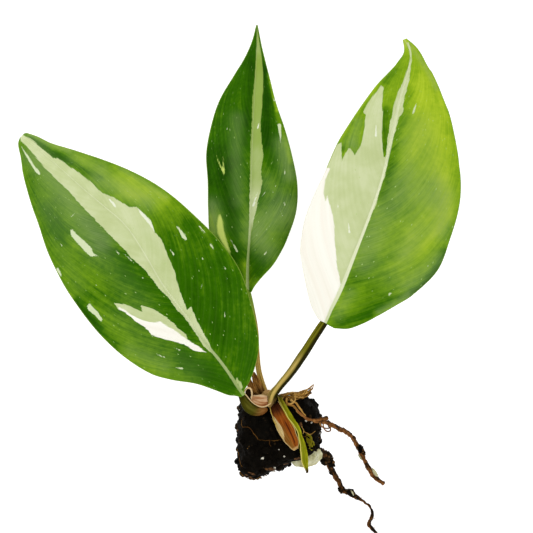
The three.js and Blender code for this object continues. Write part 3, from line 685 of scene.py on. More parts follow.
fine_finish = new_finish("fine_root_skin", roughness=0.7, specular=0.04)
fine_streaks = fibres(fine_finish, 0.4, 3.0, 4.0)
fine_shade = plus(fine_finish, marked(fine_finish, "tone"), times(fine_finish, fine_streaks, 0.8))
apply_colour(fine_finish, shades(
    fine_finish, fine_shade,
    (0.16, seen(74, 46, 14)), (0.36, seen(140, 98, 38)), (0.56, seen(188, 142, 68)),
    (0.82, seen(222, 184, 110)),
))
apply_relief(fine_finish, fibres(fine_finish, 0.2, 0.8, 4.0), 0.12)

draw = random.Random(31)
fine_forms = [strand_form(draw, points, FINE_ROOT_RADIUS, 0.0) for points in FINE_ROOTS]
fine_forms += [strand_form(draw, looping(draw, 1.3, 7), draw.uniform(0.14, 0.32), 0.1)
               for _ in range(LOOPING_ROOT_COUNT)]
for points in PALE_HAIRS:
    pale_hair = strand_form(draw, points, PALE_HAIR_RADIUS, 0.0)
    pale_hair[2]["tone"] += 0.15
    fine_forms.append(pale_hair)
for _ in range(CLINGING_HAIR_COUNT):
    way = any_direction(draw)
    if way[2] < -0.2:
        way[2] = -way[2]
    drift = any_direction(draw)
    walk = np.array([way + drift * 0.16 * s + 0.05 * any_direction(draw) for s in range(5)])
    walk /= np.linalg.norm(walk, axis=1)[:, None]
    lift = np.array([-0.5, 0.3, 0.45, 0.2, -0.6])[:, None]
    points, faces, marks = strand_form(draw, ball_surface(walk) + walk * lift, draw.uniform(0.1, 0.2), 0.1)
    marks["tone"] -= 0.3
    fine_forms.append((under_sheaths(points), faces, marks))
fine = make_piece("fine_root_tangle", fine_forms, fine_finish)
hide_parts("fine_roots")
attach(fine, "root")

# Peat crumbs caught in the tangle, set there also to darken its gaps as painted shade.
shade_crumb_forms = []
for _ in range(SHADE_CRUMB_COUNT):
    run = draw.uniform(0.5, 12)
    off = draw.uniform(-2.2, 0.5)
    place = np.array([run, np.interp(run, *np.array(TANGLE_LINE).T) + off, draw.uniform(16.4, 19.4)])
    shade_crumb_forms.append(rock(draw, place, draw.uniform(0.3, 0.9), draw.choice([0.0, 0.1, 0.3, 0.5]), 2))
shade_crumbs = make_piece("peat_crumbs_and_shade", shade_crumb_forms, peat_finish)
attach(shade_crumbs, "root")


# Stem
# The short, thick stem that all three leaves grow from, with a raised ring at each old leaf scar.
# It is half buried in the ball.

STEM = [
    (-0.6, 3, 9.5, 2.6, 2.4), (-1.6, 8, 12.6, 3.3, 3), (-3, 12.4, 16.2, 3.6, 3.3),
    (-4.4, 15.4, 19.4, 3.2, 3), (-5.4, 17.6, 21.8, 1.9, 1.8),
]
RING_SHARES = (0.36, 0.6, 0.78)
RING_HEIGHT = 0.42
RING_WIDTH = 0.5

stem_finish = new_finish("stem_skin", roughness=0.6, specular=0.06)
stem_streaks = times(stem_finish, fibres(stem_finish, 0.6, 4.0, 5.0), 0.5)
stem_clouds = times(stem_finish, blotches(stem_finish, 2.5), 0.5)
stem_colour = shades(
    stem_finish, plus(stem_finish, stem_streaks, stem_clouds),
    (0.3, seen(58, 42, 20)), (0.48, seen(108, 86, 42)), (0.6, seen(140, 118, 62)),
    (0.75, seen(168, 140, 88)),
)
young_tip = times(stem_finish, step_up(stem_finish, marked(stem_finish, "along"), 0.78, 0.92), 0.8)
apply_colour(stem_finish, laid_over(stem_finish, young_tip, stem_colour, seen(204, 160, 100)))
apply_relief(stem_finish, fibres(stem_finish, 0.3, 1.6, 5.0), 0.25)


def ringed(run, angle):
    length = GrownPath(STEM).length
    rings = sum(RING_HEIGHT * np.exp(-((run - share * length) / RING_WIDTH) ** 2) for share in RING_SHARES)
    return rings - 0.1 + 0.12 * grain_noise(run, angle, 1.2, 2.4, 3.0)


stem = make_piece("ringed_stem", [rod_form(STEM, sides=40, step=0.3, relief=ringed)], stem_finish)
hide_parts("stem")
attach(stem, "root")


# Bud sheaths
# Thin leaves that wrapped each new leaf while it grew. One is still fresh and lime green, with three
# torn scraps at its side, one has withered brown and stands open, and two dry strips are left of an
# older one. Their rows are x, y, z and the radius of the curl, or a strip's half-width.

GREEN_SHEATH = [
    (0, 16, 22.6, 0.6), (1.2, 13.4, 25.2, 0.7), (2.8, 10.6, 26.6, 0.85), (4.3, 8, 27.2, 0.9),
    (6.2, 5.3, 27.3, 0.75), (7.6, 2.6, 27, 0.6), (8.4, -0.2, 26.6, 0.75), (9.1, -2.9, 26, 1),
    (9.5, -5.6, 25.2, 1.2), (9.8, -8.3, 24.4, 1.2), (10.2, -10.4, 23.8, 0.9), (10.6, -12, 23.2, 0.5),
    (10.8, -13.3, 22.8, 0.25),
]
GREEN_SPAN = (1.9, 1.5)
GREEN_LEAN = (0.5, 0.2)
SHEATH_SCRAPS = [
    [(10.3, 1.4, 23.6, 0.2), (11.5, 1, 23.9, 0.4), (12.3, -0.3, 23.7, 0.3), (12, -1.8, 23.2, 0.45),
     (12.7, -3.4, 22.6, 0.2)],
    [(10.5, 0.4, 23.2, 0.25), (10.9, -1.2, 23.5, 0.35), (11.6, -2.2, 23.1, 0.5), (11.5, -3.7, 22.7, 0.3),
     (12.6, -4.6, 22, 0.2)],
    [(10.8, -0.2, 23.4, 0.2), (11.7, -0.8, 23.5, 0.4), (13, -1.6, 23, 0.25), (13.2, -2.8, 22.6, 0.3)],
]
BROWN_SHEATH = [
    (-2, 13.4, 22.8, 1.8), (-0.9, 10.6, 24.8, 2.3), (0.9, 6.8, 26, 2.8), (3, 2.6, 26.4, 3),
    (4.9, -1, 26, 2.5), (6.1, -3.5, 25.4, 1.5), (6.6, -4.3, 25.2, 0.8),
]
BROWN_SPAN = (1.6, 1.3)
BROWN_LEAN = (-0.1, -0.1)
BROWN_DEPTH = 0.6
BROWN_GROOVE = -0.18
STRIP_HALF_THICKNESS = 0.12
OLD_SHEATH_STRIPS = [
    [(-6.4, 16.4, 21, 1.3), (-7.8, 19.4, 21.6, 1.5), (-9, 22.4, 20.8, 1.2), (-9.8, 25, 20.4, 0.4)],
    [(-6.8, 15.6, 20.6, 1.1), (-9.4, 17.4, 21.8, 1.3), (-10.8, 20, 22.4, 1.2), (-11.1, 22.4, 22.4, 0.4)],
]


def sheet_form(middle, widths, thickness, length, marks=None):
    """A thin sheet with a thickness. middle is its grid of points, and thickness that of its two
    faces off it. widths gives each point's place across the grain and length that along it."""
    down = np.gradient(middle, axis=0)
    over = np.gradient(middle, axis=1)
    normal = np.cross(over, down)
    normal /= np.linalg.norm(normal, axis=2)[..., None]
    above, below = thickness
    upper = (middle + normal * above[..., None]).reshape(-1, 3)
    lower = (middle - normal * below[..., None]).reshape(-1, 3)
    tall, wide = middle.shape[:2]
    index = np.arange(tall * wide).reshape(tall, wide)
    under = index + tall * wide
    upward = [index[:-1, :-1], index[:-1, 1:], index[1:, 1:], index[1:, :-1]]
    downward = [under[:-1, :-1], under[1:, :-1], under[1:, 1:], under[:-1, 1:]]
    quads = [np.stack(corners, -1).reshape(-1, 4) for corners in (upward, downward)]
    for line, flip in ((index[:, 0], 1), (index[:, -1], 0), (index[0], 0), (index[-1], 1)):
        rim = np.stack([line[:-1], line[1:], line[1:] + tall * wide, line[:-1] + tall * wide], -1)
        quads.append(rim if flip else rim[:, ::-1])
    grain = np.stack([widths, np.zeros_like(widths), length], axis=-1).reshape(-1, 3)
    both = {"grain": np.vstack([grain, grain]), "inner": np.repeat([1.0, 0.0], tall * wide)}
    for name, values in (marks or {}).items():
        both[name] = np.tile(values.ravel(), 2)
    return pressed_flat(np.vstack([upper, lower])), np.concatenate(quads).tolist(), both


def curled_form(rows, span, lean, thickness, crinkle, seed, depth=1.0):
    """A sheath curled round its path like a gutter, with crinkled margins. span and lean are given
    for its two ends, and depth is how deep the gutter is beside its width."""
    path = GrownPath(rows)
    t = np.linspace(0, 1, max(40, round(path.length / 0.3)))
    v = np.linspace(-1, 1, 46)
    T, V = np.meshgrid(t, v, indexing="ij")
    point, _, side, up = (part.reshape(*T.shape, 3) for part in path.at(T.ravel()))
    angle = V * (span[0] + (span[1] - span[0]) * T) + lean[0] + (lean[1] - lean[0]) * T
    run = T * path.length
    where = np.stack([V * 2.2, run / 3.5, np.full_like(V, seed)], axis=-1).reshape(-1, 3)
    folds = lumps(where, 1.0).reshape(V.shape)
    radius = path.size(T.ravel()).reshape(T.shape)
    radius = radius + crinkle * folds * (0.25 + 0.75 * np.abs(V) ** 2) * np.sin(np.pi * T) ** 0.5
    ribs = 0.05 * np.cos(22 * V + 1.5 * folds)
    middle = (point + side * (radius * np.sin(angle))[..., None]
              - up * (depth * radius * np.cos(angle))[..., None])
    thin = thickness * (1 - 0.6 * np.abs(V) ** 3)
    arc = radius * V * span[0]
    marks = {"along": T, "across": V, "tone": np.zeros_like(V)}
    return sheet_form(middle, arc, (thin + ribs, thin - ribs), run, marks)


def strip_form(rows, seed):
    """A torn strip that has curled a little along its margins."""
    path = GrownPath(rows)
    t = np.linspace(0, 1, 44)
    v = np.linspace(-1, 1, 17)
    T, V = np.meshgrid(t, v, indexing="ij")
    point, _, side, _ = path.at(t)
    run = T * path.length
    where = np.stack([V * 1.5, run / 2.0, np.full_like(V, seed)], axis=-1).reshape(-1, 3)
    folds = lumps(where, 1.0).reshape(V.shape)
    middle = point[:, None] + side[:, None] * (V * path.size(t)[:, None])[..., None]
    middle[..., 2] += 0.35 * folds - 0.35 * V ** 2
    thin = np.full_like(V, STRIP_HALF_THICKNESS)
    marks = {"along": T, "across": V, "tone": np.zeros_like(V)}
    return sheet_form(middle, V * path.size(t)[:, None], (thin, thin), run, marks)


green_finish = new_finish("fresh_sheath", roughness=0.42, specular=0.06)
green_across = marked(green_finish, "across")
green_colour = shades(
    green_finish, fibres(green_finish, 0.4, 7.0, 4.0),
    (0.28, seen(112, 114, 0)), (0.46, seen(152, 154, 8)), (0.6, seen(180, 182, 24)),
    (0.8, seen(202, 202, 56)),
)
# Painted shade: the middle of the sheath, along its fold, is painted a deeper olive.
fold_off = reckon(green_finish, "ABSOLUTE", plus(green_finish, green_across, 0.1))
fold_shade = times(green_finish, step_up(green_finish, fold_off, 0.4, 0.0), 0.45)
green_colour = laid_over(green_finish, fold_shade, green_colour, seen(112, 122, 8))
# A pale margin along one edge, painted lighter there as a highlight as well.
edge_place = plus(green_finish, green_across, times(green_finish, fibres(green_finish, 0.8, 3.0), 0.2))
pale_edge = times(green_finish, step_up(green_finish, edge_place, 0.9, 1.02), 0.9)
green_colour = laid_over(green_finish, pale_edge, green_colour, seen(226, 208, 116))
green_base = times(green_finish, step_up(green_finish, marked(green_finish, "along"), 0.3, 0.05), 0.85)
green_colour = laid_over(green_finish, green_base, green_colour, seen(116, 104, 10))
green_tip = step_up(green_finish, marked(green_finish, "along"), 0.92, 0.98)
apply_colour(green_finish, laid_over(green_finish, green_tip, green_colour, seen(70, 52, 14)))
apply_relief(green_finish, fibres(green_finish, 0.3, 9.0), 0.12)
green_forms = [curled_form(GREEN_SHEATH, GREEN_SPAN, GREEN_LEAN, thickness=0.22, crinkle=0.25, seed=4.0)]
for i, rows in enumerate(SHEATH_SCRAPS):
    scrap = strip_form(rows, 8.0 + i)
    scrap[2]["along"] *= 0.12
    green_forms.append(scrap)
green_sheath = make_piece("fresh_bud_sheath", green_forms, green_finish)
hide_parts("green_sheath")
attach(green_sheath, "root")

brown_finish = new_finish("withered_sheath", roughness=0.6, specular=0.05)
cream_skin = shades(
    brown_finish, fibres(brown_finish, 0.6, 6.0, 4.0),
    (0.28, seen(170, 128, 64)), (0.42, seen(204, 172, 106)), (0.56, seen(228, 206, 146)),
    (0.74, seen(240, 224, 178)),
)
inner_skin = shades(
    brown_finish, fibres(brown_finish, 0.5, 7.0, 4.0),
    (0.28, seen(96, 40, 4)), (0.46, seen(150, 76, 14)), (0.62, seen(176, 98, 30)),
    (0.8, seen(200, 130, 60)),
)
brown_across = marked(brown_finish, "across")
brown_along = marked(brown_finish, "along")
olive_part = times(brown_finish, step_up(brown_finish, brown_across, -0.1, 0.35),
                   step_up(brown_finish, brown_along, 0.35, 0.6))
brown_colour = laid_over(brown_finish, times(brown_finish, olive_part, 0.75), inner_skin,
                         shades(brown_finish, fibres(brown_finish, 0.6, 5.0, 4.0, 2.0),
                                (0.35, seen(104, 72, 18)), (0.65, seen(160, 118, 54))))
lobe_edge = plus(brown_finish, brown_across, times(
    brown_finish, fibres(brown_finish, 1.0, 5.0), 0.25))
lobe_bulge = reckon(brown_finish, "ABSOLUTE", minus(brown_finish, brown_along, 0.48))
lobe_edge = minus(brown_finish, lobe_edge, times(
    brown_finish, times(brown_finish, lobe_bulge, lobe_bulge), 7.0))
in_lobe = step_up(brown_finish, lobe_edge, 0.4, 0.52)
brown_colour = laid_over(brown_finish, in_lobe, brown_colour, cream_skin)
# Painted shade: a dark line painted along the groove, away from both ends.
groove_near = reckon(brown_finish, "ABSOLUTE", minus(brown_finish, brown_across, BROWN_GROOVE))
groove_shade = times(brown_finish, step_up(brown_finish, groove_near, 0.14, 0.02),
                    times(brown_finish, step_up(brown_finish, brown_along, 0.3, 0.5),
                          step_up(brown_finish, brown_along, 0.93, 0.86)))
brown_colour = laid_over(brown_finish, times(brown_finish, groove_shade, 0.85),
                         brown_colour, seen(64, 14, 2))
# Painted shadow: the sheath's end near the stem is painted nearly black.
foot_shadow = step_up(brown_finish, brown_along, 0.36, 0.12)
brown_colour = laid_over(brown_finish, times(brown_finish, foot_shadow, 0.9), brown_colour, seen(44, 12, 2))
rim_share = times(brown_finish, step_up(brown_finish, brown_across, 0.86, 0.94), 0.9)
brown_colour = laid_over(brown_finish, rim_share, brown_colour, laid_over(
    brown_finish, step_up(brown_finish, brown_along, 0.35, 0.6), seen(188, 158, 50), seen(206, 172, 110)))
right_edge = step_up(brown_finish, brown_across, -0.9, -0.97)
brown_colour = laid_over(brown_finish, right_edge, brown_colour, seen(216, 194, 130))
brown_end = step_up(brown_finish, brown_along, 0.94, 0.98)
brown_colour = laid_over(brown_finish, brown_end, brown_colour, seen(206, 166, 104))
brown_colour = laid_over(brown_finish, marked(brown_finish, "inner"), cream_skin, brown_colour)
apply_colour(brown_finish, brown_colour)
apply_relief(brown_finish, fibres(brown_finish, 0.3, 5.0, 5.0), 0.25)
brown_forms = [curled_form(BROWN_SHEATH, BROWN_SPAN, BROWN_LEAN,
                           thickness=0.22, crinkle=0.4, seed=9.0, depth=BROWN_DEPTH)]
brown_sheath = make_piece("withered_bud_sheath", brown_forms, brown_finish)
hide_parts("brown_sheath")
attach(brown_sheath, "root")

dry_finish = new_finish("dry_sheath_strip", roughness=0.8, specular=0.04)
dry_colour = shades(
    dry_finish, fibres(dry_finish, 0.3, 5.0, 4.0),
    (0.3, seen(54, 30, 6)), (0.45, seen(126, 82, 32)), (0.58, seen(184, 130, 62)),
    (0.76, seen(216, 174, 106)),
)
# Painted shadow: each strip is painted dark near its foot.
dry_foot_shadow = times(dry_finish, step_up(dry_finish, marked(dry_finish, "along"), 0.55, 0.1), 0.75)
apply_colour(dry_finish, laid_over(dry_finish, dry_foot_shadow, dry_colour, seen(50, 26, 6)))
apply_relief(dry_finish, fibres(dry_finish, 0.25, 3.0, 5.0), 0.25)
dry_forms = [strip_form(rows, 3.0 + i) for i, rows in enumerate(OLD_SHEATH_STRIPS)]
dry_strips = make_piece("old_sheath_strips", dry_forms, dry_finish)
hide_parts("old_sheath")
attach(dry_strips, "root")


# Petioles
# The leaf stalks, firm and finely ribbed. The right one is olive, with a painted highlight down its
# middle and painted shade on one side, the left one is short and hugs the stem with a wide sheath
# whose hollow is a sheet painted as shade, and the middle one has faded.

RIGHT_PETIOLE = [
    (-3.9, 11.8, 22.9, 0.8, 0.8), (-3, 13.7, 23.8, 1.1, 1.1), (-2, 16.5, 24.4, 1.45, 1.35),
    (0.3, 19.9, 24.6, 1.55, 1.45), (3.2, 23.4, 24.4, 1.65, 1.5), (5.8, 26.8, 24, 1.75, 1.55),
    (8.1, 30.2, 23.6, 1.8, 1.5), (10.4, 33.6, 23.2, 1.75, 1.45), (12.6, 37.1, 22.9, 1.7, 1.35),
    (16.4, 42.9, 22.6, 1.6, 1.1), (19.6, 47.6, 23.2, 1.2, 0.9),
]
CENTRE_PETIOLE = [
    (-4.9, 16.2, 19.6, 1.3, 1.2), (-6.2, 20, 18.4, 1.15, 1.1), (-7.8, 26, 16.6, 1.05, 1),
    (-8.4, 32.5, 14.8, 1, 0.95), (-8.8, 41, 12.8, 0.95, 0.9), (-10.4, 50, 11.6, 0.95, 0.9),
    (-12, 57, 12.2, 0.9, 0.8),
]
LEFT_PETIOLE = [
    (-4.4, 11.2, 22.8, 0.7, 0.6), (-6.4, 10.4, 23.6, 1.5, 1), (-8.8, 10.3, 24.2, 1.95, 1.2),
    (-11, 11.4, 24.6, 2.2, 1.3), (-12.6, 13.4, 25, 2.05, 1.3), (-14, 16, 25.8, 1.5, 1.1),
    (-15.2, 18.4, 26.4, 1.2, 1), (-16, 20.4, 26.6, 1, 0.9),
]
LEFT_MEMBRANE = [
    (-10.8, 14.6, 24.8, 1), (-9.6, 14.7, 24.9, 1.6), (-7.8, 14.3, 24.8, 2.2), (-5.8, 14, 24.6, 2.3),
    (-4.2, 14.2, 24.4, 1.8),
]
MEMBRANE_SPAN = (1.4, 1.3)
MEMBRANE_LEAN = (-0.1, -0.2)
SHEATH_RIM = [
    (-10.6, 14.8, 25.4, 0.2, 0.2), (-10.3, 16.4, 26.2, 0.28, 0.28), (-10.4, 17.9, 26.9, 0.32, 0.3),
    (-11, 18.9, 27.2, 0.34, 0.3), (-11.9, 19.1, 27.3, 0.34, 0.3), (-12.7, 18.4, 27.1, 0.3, 0.28),
    (-13.2, 17.3, 26.7, 0.26, 0.26), (-12.2, 16, 26.5, 0.22, 0.24), (-11.3, 14.9, 26.3, 0.2, 0.22),
    (-10.3, 13.8, 26, 0.18, 0.2), (-8.8, 12.7, 25.7, 0.18, 0.2), (-7.3, 12, 25.3, 0.2, 0.2),
    (-5.8, 11.9, 24.9, 0.24, 0.22), (-4.4, 12.4, 24.7, 0.24, 0.22), (-3, 13.4, 24.5, 0.2, 0.2),
]
# The sheet in the left sheath's hollow, painted as its shade.
HOLLOW_SHADOW_SHEET = [(-11.3, 14.8, 24.6, 0.7), (-11.6, 16.8, 25, 1.1), (-11.8, 18.6, 25.6, 0.8)]
RIGHT_WING = [
    (-4.8, 14.6, 23.6, 1.1), (-2.7, 17, 24, 1.3), (-0.7, 19.3, 24, 1.3), (1.2, 21.7, 23.8, 1.1),
    (2.8, 24, 23.6, 0.5),
]
WING_SPAN = (1.3, 1.1)
WING_LEAN = (0.2, 0.2)


def ribbed(ribs, depth):
    """A relief of ribs along a stalk, with a little unevenness."""
    return lambda run, angle: (depth * np.cos(ribs * angle + 0.02 * run)
                               + 0.05 * grain_noise(run, angle, 1.5, 9.0, 1.5) - depth)


olive_finish = new_finish("olive_petiole", roughness=0.45, specular=0.02)
olive_across = marked(olive_finish, "across")
olive_along = marked(olive_finish, "along")
olive_streaks = fibres(olive_finish, 0.5, 12.0, 4.0)
olive_place = plus(olive_finish, olive_across, times(olive_finish, olive_streaks, 0.6))
olive_colour = shades(
    olive_finish, plus(olive_finish, olive_streaks, times(
        olive_finish, step_up(olive_finish, olive_along, 0.85, 1.0), 0.06)),
    (0.28, seen(54, 54, 4)), (0.46, seen(94, 95, 12)), (0.64, seen(128, 122, 28)),
)
left_rim = step_up(olive_finish, olive_place, -0.3, -0.8)
olive_colour = laid_over(olive_finish, times(olive_finish, left_rim, 0.35), olive_colour, seen(96, 66, 16))
# Painted highlight: a pale stretch down the middle of the stalk, on the half nearer its foot.
highlight_off = reckon(olive_finish, "ABSOLUTE", minus(olive_finish, olive_place, 0.05))
painted_highlight = times(olive_finish, step_up(olive_finish, olive_along, 0.62, 0.42),
                     step_up(olive_finish, highlight_off, 0.9, 0.0))
olive_colour = laid_over(olive_finish, times(olive_finish, painted_highlight, 0.82),
                         olive_colour, seen(216, 186, 104))
# Painted shade: one side of the stalk is painted nearly black, a little more of it towards the blade.
shade_off = plus(olive_finish, olive_place, times(
    olive_finish, step_up(olive_finish, olive_along, 0.3, 0.6), 0.1))
painted_shade_side = step_up(olive_finish, shade_off, 0.34, 0.78)
olive_colour = laid_over(olive_finish, painted_shade_side, olive_colour, seen(38, 35, 2))
tan_base = times(olive_finish, step_up(olive_finish, olive_along, 0.12, 0.02), 0.6)
apply_colour(olive_finish, laid_over(olive_finish, tan_base, olive_colour, seen(176, 140, 84)))
apply_relief(olive_finish, fibres(olive_finish, 0.3, 12.0, 4.0), 0.12)
right_rod = rod_form(RIGHT_PETIOLE, sides=44, step=0.35, relief=ribbed(11, 0.06))
wing = curled_form(RIGHT_WING, WING_SPAN, WING_LEAN, thickness=0.16, crinkle=0.25, seed=19.0, depth=0.4)
# The wing's marks are squeezed so that it takes the tan of the stalk's foot and the painted highlight.
wing[2].update(along=0.06 * wing[2]["along"] + 0.03, across=0.3 * wing[2]["across"] - 0.3)
right_petiole = make_piece("right_leaf_stalk", [right_rod, wing], olive_finish)
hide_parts("right_petiole")
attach(right_petiole, "root")

tan_finish = new_finish("faded_petiole", roughness=0.5, specular=0.05)
tan_colour = shades(
    tan_finish, fibres(tan_finish, 0.5, 14.0, 4.0),
    (0.3, seen(136, 100, 34)), (0.46, seen(184, 146, 64)), (0.62, seen(208, 176, 96)),
)
tan_green = step_up(tan_finish, marked(tan_finish, "along"), 0.5, 0.95)
apply_colour(tan_finish, laid_over(tan_finish, tan_green, tan_colour, seen(128, 158, 54)))
apply_relief(tan_finish, fibres(tan_finish, 0.3, 10.0, 4.0), 0.12)
centre_rod = rod_form(CENTRE_PETIOLE, sides=32, step=0.4, relief=ribbed(9, 0.05))
centre_petiole = make_piece("middle_leaf_stalk", [centre_rod], tan_finish)
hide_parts("centre_petiole")
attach(centre_petiole, "root")

hugging_finish = new_finish("hugging_petiole", roughness=0.42, specular=0.02)
hug_across = marked(hugging_finish, "across")
hug_outer = laid_over(
    hugging_finish, step_up(hugging_finish, marked(hugging_finish, "along"), 0.36, 0.1),
    shades(hugging_finish, fibres(hugging_finish, 1.4, 10.0, 3.0),
           (0.3, seen(42, 38, 0)), (0.5, seen(60, 58, 2)), (0.7, seen(92, 88, 26))),
    shades(hugging_finish, fibres(hugging_finish, 1.0, 4.0, 4.0),
           (0.3, seen(88, 48, 14)), (0.5, seen(126, 78, 34)), (0.7, seen(152, 106, 56))),
)
hug_inner = shades(
    hugging_finish, plus(hugging_finish, fibres(hugging_finish, 0.8, 6.0, 4.0), times(
        hugging_finish, step_up(hugging_finish, hug_across, 0.1, 0.7), -0.2)),
    (0.26, seen(136, 78, 40)), (0.42, seen(192, 136, 88)), (0.55, seen(226, 188, 146)),
    (0.72, seen(240, 218, 182)),
)
hug_colour = laid_over(hugging_finish, marked(hugging_finish, "inner"), hug_outer, hug_inner)
hug_rim = step_up(hugging_finish, reckon(hugging_finish, "ABSOLUTE", hug_across), 0.84, 0.95)
hug_colour = laid_over(hugging_finish, times(hugging_finish, hug_rim, marked(hugging_finish, "inner")),
                       hug_colour, seen(222, 192, 142))
# Painted shade: where the tone mark is 1, the hollow's sheet takes a dark brown that stands for the shade
# in the hollow.
hollow_shadow = marked(hugging_finish, "tone")
apply_colour(hugging_finish, laid_over(hugging_finish, hollow_shadow, hug_colour, seen(50, 32, 14)))
apply_relief(hugging_finish, fibres(hugging_finish, 0.5, 8.0, 4.0), 0.12)

left_rod = rod_form(LEFT_PETIOLE, sides=36, step=0.3, relief=ribbed(7, 0.03))
left_rod[2]["inner"] = np.zeros(len(left_rod[0]))
rim = rod_form(SHEATH_RIM, sides=12, step=0.2)
rim[2].update(inner=np.ones(len(rim[0])), across=np.ones(len(rim[0])))
# A sheet in the sheath's hollow, painted dark brown all over as the shade inside it.
hollow_shadow_sheet = curled_form(HOLLOW_SHADOW_SHEET, (1.4, 1.4), (0.0, 0.0),
                     thickness=0.15, crinkle=0.2, seed=27.0, depth=0.6)
hollow_shadow_sheet[2]["tone"] = np.ones(len(hollow_shadow_sheet[0]))
membrane = curled_form(LEFT_MEMBRANE, MEMBRANE_SPAN, MEMBRANE_LEAN,
                       thickness=0.16, crinkle=0.3, seed=14.0, depth=0.5)
left_petiole = make_piece("left_leaf_stalk", [membrane, left_rod, rim, hollow_shadow_sheet], hugging_finish)
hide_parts("left_petiole")
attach(left_petiole, "root")
